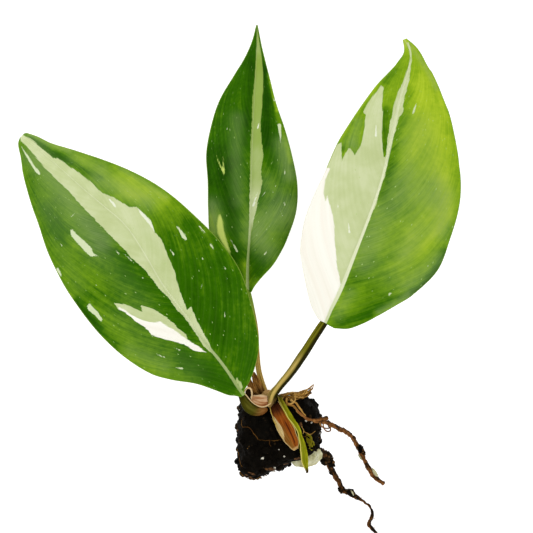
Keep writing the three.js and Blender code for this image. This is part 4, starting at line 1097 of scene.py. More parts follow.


# Leaf blades
# Firm, pointed leaves with a sunken midrib and faint side veins that run out towards the tip.
# Parts of the leaf grew without green, as cream or white sectors along the veins and as flecks.
# Outlines and flecks are drawn as seen from above, in millimetres.

# Places along the midrib run from 0 at its foot to 1 at its tip. Half-widths are to its left and to
# its right, and a rib's row is a place, half-width, strength and paleness. A band of light, sheen or
# wash is the points of its middle line, then its reach and its amount. Light bands make the green
# lighter or deeper: mostly the leaf's own tone, and in places painted light and shade. Sheen bands lay
# a painted grey sheen, a painted highlight, over the green. Wash bands tint the cream green.
LEFT_BLADE = {
    "midrib": [
        (-13.3, 16.3, 27.5), (-27.5, 39, 32.5), (-44, 60, 33.5), (-62, 82, 29.5),
        (-80.5, 100, 20.7), (-91.5, 109.6, 11.2), (-96.6, 113.6, 4.4), (-98.2, 115, 0.75),
    ],
    "half_widths": [
        (0, 1.2, 0.6), (0.012, 3, 1.1), (0.022, 4.9, 4), (0.05, 8, 9), (0.095, 13.2, 14.6),
        (0.14, 20, 17.7), (0.19, 25.2, 20.6), (0.28, 29.5, 25.2), (0.375, 31.5, 26),
        (0.47, 31.5, 24.5), (0.56, 30.2, 22.1), (0.66, 26.6, 17.5), (0.755, 20.4, 12.2),
        (0.82, 16.2, 8.4), (0.885, 11.4, 5), (0.94, 6.6, 3.6), (0.975, 3.9, 2.6), (0.993, 2.4, 2),
        (1, 1.2, 1.2),
    ],
    "rib_shift": [
        (0, 0), (0.03, -0.3), (0.06, -0.4), (0.11, -0.9), (0.16, -1.7), (0.215, -2.1), (0.267, -1.7),
        (0.318, -1.5),
        (0.38, -1), (0.46, 0.6), (0.56, 2), (0.64, 1), (0.72, 0.3), (1, 0),
    ],
    "rise": 0.2, "droop": 0.27, "curl": (0.05, 0.45), "wave": 0.7, "wave_count": 3.5,
    "grid": (300, 65),
    "rib": [
        (0, 0.6, 0.9, 0.2), (0.12, 0.56, 0.95, 0.35), (0.2, 0.44, 0.85, 0.5), (0.3, 0.28, 0.4, 1),
        (0.6, 0.2, 0.42, 1), (0.8, 0.14, 0.3, 1), (1, 0.1, 0.2, 1),
    ],
    "cream": [[
        (-99.2, 116.8), (-97.1, 115), (-94.9, 113.9), (-93.3, 112.8), (-91.7, 111.3), (-89.5, 109.4),
        (-87.3, 107.8), (-85.8, 106.3), (-84.1, 106.2), (-82.3, 105.1), (-80.5, 103.5), (-75.8, 100.8),
        (-71, 96.8), (-66.9, 93), (-62.7, 91.4), (-56.6, 87.6), (-54.2, 87.9), (-51.2, 85.1),
        (-47.7, 80.8), (-47, 78.1), (-44.3, 75.4), (-42.9, 71.3), (-40.9, 66.6), (-39.2, 62.5),
        (-38.2, 57.7), (-36.8, 53.7), (-34.8, 48.9), (-33.4, 49.9), (-32.1, 46.9), (-29.3, 41.4),
        (-28.3, 39.8), (-26.2, 35.4), (-25.2, 32.2), (-26.4, 32.8), (-28.9, 35.4), (-31.8, 40.1),
        (-35.7, 45.8), (-38.8, 48.9), (-42, 53.4), (-45.3, 56.6), (-47.8, 60), (-51, 64),
        (-55.8, 68.3), (-61.3, 74.3), (-66.7, 79.7), (-71.7, 85), (-74.8, 88), (-79.8, 93.8),
        (-83.7, 97.5), (-89, 102.6), (-92.6, 106.9), (-94.4, 109), (-96, 110.8), (-98.4, 113),
    ], [
        (-16, 23.2), (-15.2, 22.1), (-14.6, 21.6), (-14.1, 20.5), (-13.8, 19.3), (-14.4, 18.5),
        (-15.2, 19.8), (-16.1, 21.2), (-16.6, 22.2),
    ], [
        (-21.6, 28.6), (-20.2, 27.4), (-19, 25.2), (-17.9, 23), (-18.4, 22.8), (-19.8, 25.4),
    ], [
        (-62.3, 51.3), (-58.5, 50.9), (-54.8, 49.3), (-51.7, 48.1), (-52.4, 50.6), (-47, 48.6),
        (-42.6, 45.9), (-38.2, 41.8), (-35.1, 39.4), (-34.8, 37.7), (-30.7, 35), (-27.3, 32.6),
        (-32.4, 33.4), (-36, 35.6), (-41.5, 37.2), (-48.5, 39.3), (-49.2, 40.9), (-51.4, 42.6),
        (-54.6, 44.6), (-58.2, 47.9), (-60.9, 49.1),
    ]],
    "white": [[
        (-60.7, 49.9), (-58.5, 48.9), (-55.8, 46.9), (-51.7, 44.8), (-48.7, 44.2), (-44.9, 44.2),
        (-41.9, 42.5), (-38.2, 40.1), (-35.1, 37.7), (-30.7, 35), (-27, 32.5), (-29.3, 31.8),
        (-36.1, 34.8), (-41.6, 36.3), (-48.3, 38.9), (-51.8, 42.2), (-58.4, 47.5), (-60.9, 49.2),
    ]],
    "patches": [[
        (-98.5, 111.2), (-98, 110.9), (-96.8, 109.2), (-95.5, 107.6), (-94.7, 106.4), (-93.7, 104.7),
        (-92.5, 102.9), (-91.3, 101.8), (-90.6, 100.5), (-91, 99.9), (-91.8, 100.2), (-92.9, 101.5),
        (-94.1, 103.3), (-95.2, 105.2), (-96.3, 107.1), (-97.4, 109.2),
    ], [
        (-54, 87.7), (-52, 86.1), (-50.4, 84.7), (-48.4, 82.6), (-47.7, 80.2), (-46.4, 77), (-48, 79.2),
        (-49.4, 81.2), (-50.8, 83), (-52.6, 84.9),
    ], [
        (-79.2, 79.2), (-78.3, 79.3), (-76.6, 77.4), (-73.7, 74.9), (-71.2, 72.5), (-70.1, 70),
        (-67.5, 68.9), (-71.6, 68.9), (-73.4, 70.7), (-75.8, 73.2), (-78, 75.7), (-79, 77.1),
    ], [
        (-72.8, 50.5), (-71.7, 51.2), (-69.8, 49.4), (-68, 47.3), (-66.7, 44.8), (-67.3, 44.1),
        (-69.8, 46.6), (-72.3, 48.7),
    ], [
        (-85.1, 64.9), (-83.6, 64.7), (-82.6, 62.9), (-81.7, 61.1), (-83, 61.5), (-84.1, 63.2),
    ], [
        (-39.2, 80.8), (-38.2, 80.3), (-36.1, 77.8), (-34.7, 75.5), (-35.4, 74.9), (-36.8, 76),
        (-37.9, 78.5),
    ], [
        (-30.8, 80.6), (-30.1, 80.6), (-27.8, 77.8), (-28.1, 77.4), (-29.4, 78.5),
    ], [
        (-26.5, 74.1), (-25.7, 73.8), (-24, 71.6), (-25, 71.7), (-26.2, 73),
    ], [
        (-64.7, 90.9), (-64, 90.9), (-62, 88.8), (-61.4, 87.4), (-62.4, 87.7), (-63.8, 89.3),
    ], [
        (-59.2, 70.2), (-57.8, 69.4), (-56, 67.9), (-54.8, 66.4), (-56, 67.1), (-57.8, 68.7),
    ]],
    "flecks": [
        (-41.2, 71.6, -40, 69.8, 0.45), (-29.5, 68.9, -28.9, 68, 0.38), (-20.9, 65.3, -20.3, 64.2, 0.38),
        (-20, 61.8, -19.7, 60.6, 0.3), (-62.6, 72, -60.6, 69.9, 0.34), (-71.1, 58.8, -69, 58.1, 0.3),
        (-39.9, 34.5, -37.6, 33.5, 0.34), (-47, 32.2, -43.4, 30.8, 0.34), (-39.4, 27, -36.6, 26.6, 0.42),
        (-77.2, 85.4, -78.9, 84.1, 0.3), (-53.1, 61.8, -51.4, 60.8, 0.27), (-29.7, 56.4, -29, 58.8, 0.27),
        (-20.5, 47.9, -20.5, 46.2, 0.27), (-85, 76.4, -84, 75.5, 0.27), (-82.9, 74, -82.3, 73, 0.27),
    ],
    "lime_patches": [],
    "wash": 0.0,
    "wash_spots": [((-17, 22), 6, 0.5), ((-50, 78), (-41, 60), 3, 0.14)],
    "margin": 0.0,
    "tone": -0.1,
    "light": [
        ((-95, 115.4), (-90.6, 113.2), (-85, 111), (-80, 109.5), 1, 0.3),
        ((-94.5, 114), (-91, 111.6), (-88, 108.8), (-78, 104.2), (-68, 98.6), 1.4, -0.42),
        ((-62, 103.2), (-52, 97.6), (-42, 90.8), 1.4, 0.2), ((-58, 93.4), (-54, 91), 2, 0.2),
        ((-40, 74), (-36.5, 66), (-32.5, 55), (-24.5, 41.5), 6, -0.26), ((-76.5, 51), (-69, 41.5), 2, -0.3),
        ((-24, 60), (-20, 44), (-14, 30), 10, -0.3), ((-24, 66), (-20.5, 60), 2.5, -0.22),
        ((-76, 105), (-67.9, 100.5), (-55.4, 94.3), (-46, 89.6), 4, 0.34), ((-16, 60), (-12, 46), 3, -0.12),
        ((-60.6, 97.4), (-52.2, 92), 3.5, 0.28), ((-34, 81), (-22, 70), 3, -0.2),
        ((-44, 32), (-25, 24), 4, -0.1),
        ((-93, 92), (-86.5, 72.8), (-77.2, 54.2), (-64.7, 37.5), (-50, 27), (-36, 24), 4.5, 0.06),
        ((-96.6, 106), (-91.5, 88), (-87.4, 74), (-83, 65), 2.5, -0.1), ((-77, 52), (-62, 35), 2, -0.28),
        ((-88, 88), (-83, 76), 3.5, -0.26), ((-68, 72), (-50, 54), 6, -0.14),
        ((-56, 98.5), (-46, 92.5), (-38, 86.5), 1.6, 0.2), ((-72, 82), (-58, 64), 3, -0.2),
        ((-72, 54), (-62, 50), 3, -0.15),
        ((-53.3, 66.7), (-39.8, 50.1), (-35.6, 41.8), 5, -0.28), ((-36, 31), (-19, 19), 4, -0.3),
        ((-38, 74), (-33, 60), 1.2, 0.12), ((-30, 60), (-27, 48), 1.4, 0.14),
        ((-44, 25), (-56, 31), 3, 0.12),
        ((-58, 52), (-46, 34), 5, -0.1), ((-60, 92), (-66, 90), 2, 0.1), ((-78, 70), (-69, 59), 3, 0.12),
    ],
    "sheen": [
        ((-92.8, 107.3), (-79.3, 90.6), (-72, 81), (-67, 75), 4.5, 0.72),
        ((-78, 106.6), (-67.9, 102.6), 3, 0.35),
        ((-86, 88), (-70, 70), 5, 0.22),
        ((-56.4, 33.4), (-44, 27.2), 3, 0.3), ((-91, 94), (-83, 72), (-76, 58), 3.5, 0.14),
        ((-68, 98), (-60, 95), (-50, 90), 4, 0.6), ((-95, 115.4), (-88, 112.2), (-80, 109.4), 1.2, 0.6),
        ((-60, 102.4), (-50, 96.2), (-43, 91.4), 1.4, 0.35), ((-64, 66), (-52, 50), 5, 0.15),
        ((-60, 45), (-34, 25), 6, 0.14),
    ],
}
CENTRE_BLADE = {
    "midrib": [
        (-12, 55.5, 12.6), (-11.9, 66, 15.4), (-11.1, 79, 16.6), (-10.5, 101, 16.4),
        (-9.8, 121, 13), (-8.9, 138, 7.4), (-8.4, 150, 2.7), (-8.4, 157.5, 0.75),
    ],
    "half_widths": [
        (0, 0.9, 1.5), (0.02, 1.6, 2.6), (0.05, 4.8, 5), (0.1, 9.4, 9.3), (0.15, 12.8, 12),
        (0.2, 15.1, 14.2), (0.3, 16.1, 17.4), (0.4, 16.5, 17.6), (0.5, 17.4, 15.4), (0.6, 16, 12.3),
        (0.7, 13.2, 8.4), (0.8, 8.2, 5.3), (0.86, 5, 3.5), (0.92, 2.5, 1.85), (0.965, 1.1, 0.9),
        (1, 0.25, 0.25),
    ],
    "rib_shift": [(0, 0), (1, 0)],
    "rise": 0.3, "droop": 0.36, "curl": (0.1, 0.2), "wave": 0.9, "wave_count": 3,
    "grid": (250, 45),
    "rib": [
        (0, 0.6, 0.95, 0.35), (0.15, 0.46, 0.95, 0.25), (0.22, 0.4, 0.85, 0.5), (0.3, 0.34, 0.5, 0.5),
        (0.5, 0.22, 0.45, 0.4), (0.8, 0.12, 0.4, 0.4), (1, 0.08, 0.3, 0.4),
    ],
    "cream": [[
        (-8.4, 156.1), (-8.6, 148.7), (-9, 141.2), (-9.4, 136.4), (-10.1, 129.7), (-10.4, 120.8),
        (-10.9, 111.3), (-11.1, 101.2), (-11.2, 91), (-11.4, 80.8), (-11.7, 74.7), (-11, 75.4),
        (-10.5, 78.8), (-9.5, 82.5), (-8.4, 87.6), (-7.2, 93.4), (-6.4, 97.4), (-6.8, 100.5),
        (-6.5, 104.6), (-5.9, 107.9), (-6.5, 111.7), (-6.8, 118.1), (-6.5, 124.9), (-6.1, 131.7),
        (-6.1, 139.2), (-6.7, 145.9), (-7.7, 152.1),
    ]],
    "white": [],
    "patches": [],
    "flecks": [
        (-8.2, 93.2, -9.7, 88.4, 0.5), (-18.6, 75.8, -16, 71, 0.5), (0.7, 112.2, 0.1, 118.9, 0.75),
        (2, 102.9, 2.1, 100.5, 0.34), (-2, 129.4, -1.8, 128.4, 0.4), (-2.6, 94.4, -2.3, 93.4, 0.27),
        (-4.3, 94.4, -6.7, 91.7, 0.26),
        (-1.6, 96.8, -1.4, 95.6, 0.3), (1.6, 90.4, 2.2, 88.6, 0.3), (0.4, 86.6, 1.4, 84.4, 0.26),
        (-4.2, 71.6, -5.4, 69.8, 0.26),
        (-18.1, 92, -17.1, 90.6, 0.26), (-19.9, 118.5, -19.7, 117.4, 0.3), (-7.6, 119.6, -8, 117.8, 0.4),
    ],
    "lime_patches": [[
        (-24, 108.2), (-23.3, 106.6), (-22.4, 104.6), (-21.5, 102.8), (-21.3, 107.4), (-20.9, 107.5),
        (-20.8, 104), (-20.5, 101.5), (-20.8, 99.2), (-21.9, 101.7), (-23, 104.2), (-23.7, 106.3),
    ], [
        (-23.5, 83.6), (-22.9, 85.2), (-22.1, 85.2), (-21.4, 83.6), (-20.9, 80.4), (-20.3, 77.2),
        (-19.1, 73.4), (-17.9, 69.6), (-19.8, 71.2), (-22, 74.6), (-23.4, 77.4), (-23.9, 80.6),
    ]],
    "wash": 0.85,
    "wash_spots": [((-10.4, 83.5), (-9, 92), 4, -0.75), ((-8, 108), (-8, 97), 3, -0.25),
                   ((-7, 119), 2, -0.1),
                   ((-8.2, 150), (-8.3, 148), 2, -0.15), ((-8.4, 142), 4, 0.08)],
    "margin": 0.15,
    "tone": -0.42,
    "light": [
        ((-10.1, 148.2), (-11.9, 123.2), (-12.6, 112), 1.4, -0.24),
        ((-13, 100), (-13.4, 80), (-13.8, 66), 2, 0.16),
        ((-16.1, 129), (-16.4, 108), (-15.3, 90), 2.6, 0.06), ((-22, 130), (-18, 137), 2, 0.12),
        ((-22.7, 109), (-19.4, 90), (-16.1, 73.3), 3.5, -0.26), ((-27.5, 110), (-27, 98), 2, -0.26),
        ((-4.9, 140), (-4.6, 127.4), (-4.6, 112), 2.5, -0.38),
        ((-4, 138.4), (-2.2, 130), (-0.8, 125), 0.8, 0.8),
        ((1.4, 112), (3.4, 102.5), 3, 0.2), ((-0.8, 124), (2, 114), (4.4, 105), 1.1, 0.5),
        ((6, 100), (5, 94), 2, 0.2),
        ((-6.9, 81), (2, 84), 6, 0.34), ((-9, 76), (-2, 73), 5, 0.34), ((-8.8, 106), (-2, 95), 4, 0.24),
        ((-24.6, 84), (-20, 74), 3.5, 0.5), ((-11.9, 58), (-6, 60), (-1, 67), 2.4, 0.34),
        ((0, 91), (2, 86), 2, -0.12),
        ((-17, 105), (-20, 102), (-24, 97), 2.4, -0.2), ((-12, 144), (-6, 140), 3, -0.1),
        ((-13.5, 120), 3, -0.1),
        ((-18, 92), (-17.4, 88), 1.5, -0.15), ((-12.6, 66), (-12.3, 60), 1.6, 0.5),
        ((-25.6, 84), (-25, 78), 1.3, 0.35),
    ],
    "sheen": [
        ((-16.1, 121.4), (-16.4, 106), (-15.3, 90), 2.6, 0.36), ((1.4, 111.7), (3.9, 100), 3, 0.72),
        ((-7.8, 81), (3, 86), 6, 0.75), ((-8.6, 76), (-4, 71.2), 4, 0.55),
        ((-25.8, 88), (-24, 79.5), 3, 0.85),
        ((-5, 97), (-1, 92), 4, 0.3),
    ],
}
RIGHT_BLADE = {
    "midrib": [
        (17.5, 43.7, 24), (22.7, 52.8, 26.2), (30, 69.4, 28), (37.4, 90, 27.4), (41.6, 109, 22.6),
        (46, 129, 13.6), (49.4, 141, 6.8), (50, 147, 2.9), (48, 152, 0.85),
    ],
    "half_widths": [
        (0, 3, 4), (0.02, 7.2, 8.3), (0.05, 11, 11.6), (0.1, 15.2, 16.5), (0.145, 18.6, 20.7),
        (0.19, 21.3, 24.8), (0.285, 23.8, 30.15), (0.38, 23.7, 30.6), (0.48, 22.1, 30.4),
        (0.575, 19.75, 28.1), (0.68, 15.55, 23.8), (0.785, 10.6, 18.55), (0.85, 7.1, 13.6),
        (0.915, 4, 6.75), (0.96, 2.1, 3), (0.99, 1, 1.3), (1, 0.7, 0.7),
    ],
    "rib_shift": [
        (0, 0), (0.02, -0.25), (0.05, -0.75), (0.09, -0.9), (0.146, -1.05), (0.2, -1.25), (0.26, -1.35),
        (0.33, -1.3), (0.38, -1.2), (0.446, -0.8), (0.5, -0.3), (0.57, 0.1), (1, 0),
    ],
    "rise": 0.16, "droop": 0.24, "curl": (0.35, 0.1), "wave": 0.6, "wave_count": 2.5,
    "grid": (275, 68),
    "rib": [
        (0, 0.5, 0.9, 0.8), (0.06, 0.68, 0.9, 0.9), (0.12, 0.76, 0.94, 1), (0.28, 0.56, 0.95, 1),
        (0.5, 0.42, 0.9, 1), (0.6, 0.7, 0.5, 1), (0.76, 0.5, 0.5, 1), (0.84, 0.25, 0.4, 1),
        (1, 0.12, 0.3, 1),
    ],
    "cream": [[
        (11.7, 102.5), (21.1, 110), (22.6, 111.8), (23.7, 112.4), (23.8, 109.6), (23.8, 104.8),
        (25.2, 108.2),
        (26.7, 110.3), (27.8, 109.2), (28.8, 107.2), (30.4, 110), (31.5, 113), (32.4, 117.5),
        (33.1, 122.7), (32.1, 123.9), (33.9, 127.4), (35.7, 129.7), (37.6, 132.1), (38.9, 134.2),
        (39.8, 133.3), (39.5, 129.5), (39.2, 126.5), (39.5, 123.5), (39.2, 119.7), (39.1, 115.2),
        (39.3, 111.5), (39.7, 106.7), (40.5, 106.7), (40.9, 110), (41.4, 114.5), (42, 119),
        (43.1, 123.5), (44, 127.9), (45.3, 131.4), (46.3, 133.4), (47.7, 136.6), (49.1, 140.8),
        (50.2, 144.5), (49.8, 147.5), (49, 150.5), (49.5, 150.9), (50.5, 147.5), (50.7, 143.8),
        (50, 140), (49.5, 135.5), (48.6, 132.5), (47.6, 128.7), (47.1, 123.5), (45.9, 122),
        (44.7, 118.2), (43.4, 113.7), (42.3, 110), (41.4, 106.2), (40.6, 100.9), (38.9, 95.7),
        (37.3, 90.1), (34.4, 82.9), (31.7, 77.3), (29.2, 71.3), (26.8, 65.7), (24.8, 61.3),
        (23.2, 57.8), (21.7, 53.6), (19.8, 49.8), (18.2, 46), (17.5, 44.1), (16.8, 41.6), (11.7, 40.8),
        (2.7, 57.4), (2.7, 87.4),
    ]],
    "white": [[
        (11.7, 103.2), (19.6, 102.5), (17.7, 97.9), (17, 92.7), (17.7, 89.8), (18.3, 92.3), (19.2, 88.9),
        (20.3, 84.8), (21, 79.9), (21.2, 75.4), (21.6, 69.4), (22, 64.4), (22.8, 62.6), (23.2, 59.6),
        (23.4, 57.8), (21.7, 53.6), (19.8, 49.8), (18.2, 46), (17.5, 44.1), (16.8, 41.6), (11.7, 40.8),
        (2.7, 57.4), (2.7, 87.4),
    ]],
    "patches": [[
        (52.4, 127.6), (52.1, 125.4), (51.3, 123.1), (50.5, 122.1), (50.8, 124), (51.5, 126.2),
    ], [
        (41.3, 54.2), (41.4, 55.1), (42.5, 55.5), (43.7, 57), (42.8, 55.2), (42.2, 54.2),
    ]],
    "flecks": [
        (36.9, 119.6, 36.8, 114.8, 0.5), (26.2, 82, 26.7, 78.2, 0.5), (22.2, 88.9, 22.4, 87.8, 0.3),
        (53, 120.9, 53.2, 120.6, 0.3), (58.4, 120.8, 58.6, 120.6, 0.32), (56.2, 66, 56.5, 65.4, 0.3),
    ],
    "lime_patches": [],
    "wash": 0.0,
    "wash_spots": [],
    "margin": 0.45,
    "tone": 0.13,
    "light": [
        ((54.9, 132.4), (60.4, 118.8), (63, 108), 6, 0.38), ((63.5, 98), (63.5, 86), 5, 0.42),
        ((51.3, 127.9), (54.9, 109.7), (54.9, 96.1), 7, 0.24), ((48, 125), (44, 110), (41, 98), 2.5, -0.22),
        ((50, 130), 3, -0.32), ((50, 108), 6, 0.14), ((24, 43.5), (32, 46), (42, 51), 3.6, -0.46),
        ((58, 106), (56, 97), 4, -0.1), ((51, 55.5), (55, 58.5), (59, 63), 2, -0.3),
        ((41, 50), (49, 54.2), 1.4, 0.1),
        ((27, 58), (34, 66), (44, 74), 4, -0.22), ((48, 73), (58.5, 82.6), 5, 0.3),
        ((53, 67), (60, 79), 3, 0.18),
        ((31.4, 57.2), (49.5, 65.3), 2.5, 0.06), ((66.7, 100), (67, 88), (64.9, 76), 2, -0.2),
        ((49.5, 147.8), (54.9, 138.7), 4, 0.22), ((40.6, 124), (40.1, 110), 2, -0.42),
        ((44.5, 142), (40.5, 136), 2, -0.26),
        ((42, 132), 3, 0.1), ((24, 110), 1.5, -0.3), ((30.5, 121), (28, 113), 2, 0.02),
        ((36, 57), (42, 60), 4, -0.2),
        ((46, 53), (54, 57), (59, 63), (63, 71), 1.8, -0.5), ((37, 47.3), (47, 52), 1.6, 0.36),
        ((43, 103), (41, 96), (39, 91), 2.4, -0.28), ((46, 94), (43, 87), 3, -0.14),
        ((30, 62), (37, 53), 5, -0.1),
        ((50.6, 149), (56, 141), (61, 131), (65, 119), 1, 0.2), ((53, 119), (51, 110), 2, 0.14),
        ((22.5, 113.5), (27, 121), (32, 128), (38, 136), (44, 142.5), 1, 0.45), ((47.6, 150.5), 1.6, 0.9),
        ((45, 80), (38, 72), 3, 0.14),
    ],
    "sheen": [
        ((47.7, 99), (43.5, 89.8), (36, 76), (31.5, 67), 5, 0.5), ((49.5, 57.2), (60.4, 68.1), 3.5, 0.5),
        ((44, 62), (50, 78), (52, 92), 6, 0.3), ((61, 96), (61, 78), 4, 0.4),
        ((30, 108), (27, 112), 3, 0.3),
        ((53, 118), (57, 104), (57, 92), 6, 0.34), ((38, 74), (34, 66), 4, 0.1),
        ((55, 79), (48, 70), 4, 0.25),
        ((38, 48), (49, 54), 1.2, 0.55), ((30, 120), (28, 112), 2, 0.4), ((22, 47), (27, 55), 2.5, 0.35),
        ((64.5, 92), (62.5, 80), 3, 0.25), ((48, 112), (49, 104), 3, 0.25), ((37, 88), (32, 73), 2.5, 0.25),
        ((47.6, 150.5), (50.5, 149), (56, 141), (60, 133), 1, 0.45),
    ],
}
BLADE_HALF_THICKNESS = 0.2
MIDRIB_DEPTH = 0.8
VEIN_SPACING = 3.6
VEIN_WIDTH = 0.45


def depth_inside(x, y, outlines):
    """How far each point lies inside the outlines, or as a negative number outside them."""
    best = np.full(x.shape, -99.0)
    for outline in outlines:
        ends = np.array(outline)
        nearest = np.full(x.shape, 99.0)
        inside = np.zeros(x.shape, dtype=bool)
        for (ax, ay), (bx, by) in zip(ends, np.roll(ends, -1, axis=0)):
            nearest = np.minimum(nearest, way_off(x, y, ax, ay, bx, by))
            crosses = (ay > y) != (by > y)
            inside ^= crosses & (x < (bx - ax) * (y - ay) / (by - ay + 1e-12) + ax)
        best = np.maximum(best, np.where(inside, nearest, -nearest))
    return best


def depth_in_flecks(x, y, flecks):
    """The same for small flecks, each a stroke that widens from one end to a half-width at the other."""
    best = np.full(x.shape, -99.0)
    for ax, ay, bx, by, half in flecks:
        dx, dy = bx - ax, by - ay
        share = np.clip(((x - ax) * dx + (y - ay) * dy) / (dx * dx + dy * dy), 0, 1)
        best = np.maximum(best, half * (0.25 + 0.75 * share) - way_off(x, y, ax, ay, bx, by))
    return best


def bands(x, y, places):
    """The sum of soft bands, each with the points of its middle line, its reach and its amount."""
    total = np.zeros(x.shape)
    for *line, reach, amount in places:
        near = np.full(x.shape, 99.0)
        for (ax, ay), (bx, by) in zip(line, line[1:] or line):
            near = np.minimum(near, way_off(x, y, ax, ay, bx, by))
        total += amount * np.exp(-(near / reach) ** 2)
    return total


def smooth_step(value, low, high):
    share = np.clip((value - low) / (high - low), 0, 1)
    return share * share * (3 - 2 * share)


def blade_form(blade):
    """A blade with its marks: how deep each point lies in the cream, the white and the flecks."""
    path = GrownPath(blade["midrib"])
    widths = np.array(blade["half_widths"])
    rows, half_columns = blade["grid"]
    t = np.linspace(0, 1, rows)
    s = np.linspace(-1, 1, 2 * half_columns + 1)
    T, V = np.meshgrid(t, s * (0.7 + 0.3 * s * s), indexing="ij")
    point, _, side, _ = path.at(t)
    out = np.abs(V)
    shift = through(np.array(blade["rib_shift"]), 1, t)[:, None] * np.ones_like(V)
    to_left, to_right = through(widths, 1, t)[:, None], through(widths, 2, t)[:, None]
    half_width = np.where(V < 0, to_left + shift, to_right - shift)
    curl = np.where(V < 0, blade["curl"][0], blade["curl"][1]) * smooth_step(T, 0.55, 1)
    phase = 2 * np.pi * blade["wave_count"] * T + np.where(V < 0, 0, 2)
    lift = half_width * (blade["rise"] * out - (blade["droop"] + curl) * out ** 2)
    lift += blade["wave"] * out ** 2 * np.sin(np.pi * T) * np.sin(phase)
    middle = point[:, None] + side[:, None] * (V * half_width + shift)[..., None]
    middle[..., 2] += lift

    vein = T - (0.08 + 0.32 * T) * out - (0.02 + 0.22 * T) * out ** 2
    from_rib = out * half_width
    across = vein * path.length
    along = np.hypot(from_rib, (T - vein) * path.length)
    spacing = across / VEIN_SPACING
    off_vein = (spacing - np.round(spacing)) * VEIN_SPACING
    reach = np.clip(from_rib / 2, 0, 1) * np.clip((1 - out) * half_width / 3, 0, 1)
    vein_line = reach * np.exp(-(off_vein / VEIN_WIDTH) ** 2)
    flat = middle.reshape(-1, 3)
    swell = 0.14 * lumps(flat, 9.0, 2).reshape(T.shape) * reach
    groove_width = 0.35 + 0.5 * (1 - T)
    groove = 0.28 * (1 - 0.6 * T) * np.exp(-(from_rib / groove_width) ** 2)
    shoulder = 0.12 * (1 - 0.6 * T) * np.exp(-((from_rib - 2 * groove_width) / groove_width) ** 2)
    keel = MIDRIB_DEPTH * (1 - 0.75 * T) * np.exp(-(from_rib / (0.5 + 0.9 * (1 - T))) ** 2)
    thin = BLADE_HALF_THICKNESS * (0.45 + 0.55 * np.clip((1 - out) * half_width / 2.5, 0, 1))
    above = thin + swell + shoulder - groove - 0.005 * vein_line
    below = thin - swell + keel + 0.08 * vein_line

    x, y = middle[..., 0], middle[..., 1]
    rib_at, rib_width, rib_share, rib_pale = np.array(blade["rib"]).T
    marks = {
        "cream": depth_inside(x, y, blade["cream"]),
        "white": depth_inside(x, y, blade["white"]),
        "fleck": np.maximum(depth_in_flecks(x, y, blade["flecks"]), depth_inside(x, y, blade["patches"])),
        "lime_fleck": depth_inside(x, y, blade["lime_patches"]),
        "wash": blade["wash"] + bands(x, y, blade["wash_spots"]),
        "rib": np.interp(T, rib_at, rib_width) - from_rib,
        "rib_share": np.interp(T, rib_at, rib_share),
        "rib_pale": np.interp(T, rib_at, rib_pale),
        "margin": (1 - out) * half_width,
        "margin_green": np.full_like(T, blade["margin"]),
        # The light mark is the leaf's own lighter and deeper green, and in places painted light and shade.
        "light": blade["tone"] + bands(x, y, blade["light"]),
        # The sheen mark is where a painted sheen lies.
        "sheen": bands(x, y, blade["sheen"]),
        "vein": vein_line,
    }
    form = sheet_form(middle, across, (above, below), along, marks)
    form[2]["grain"][:, 1] = np.tile(np.where(V < 0, 0.0, 60.0).ravel(), 2)
    return form


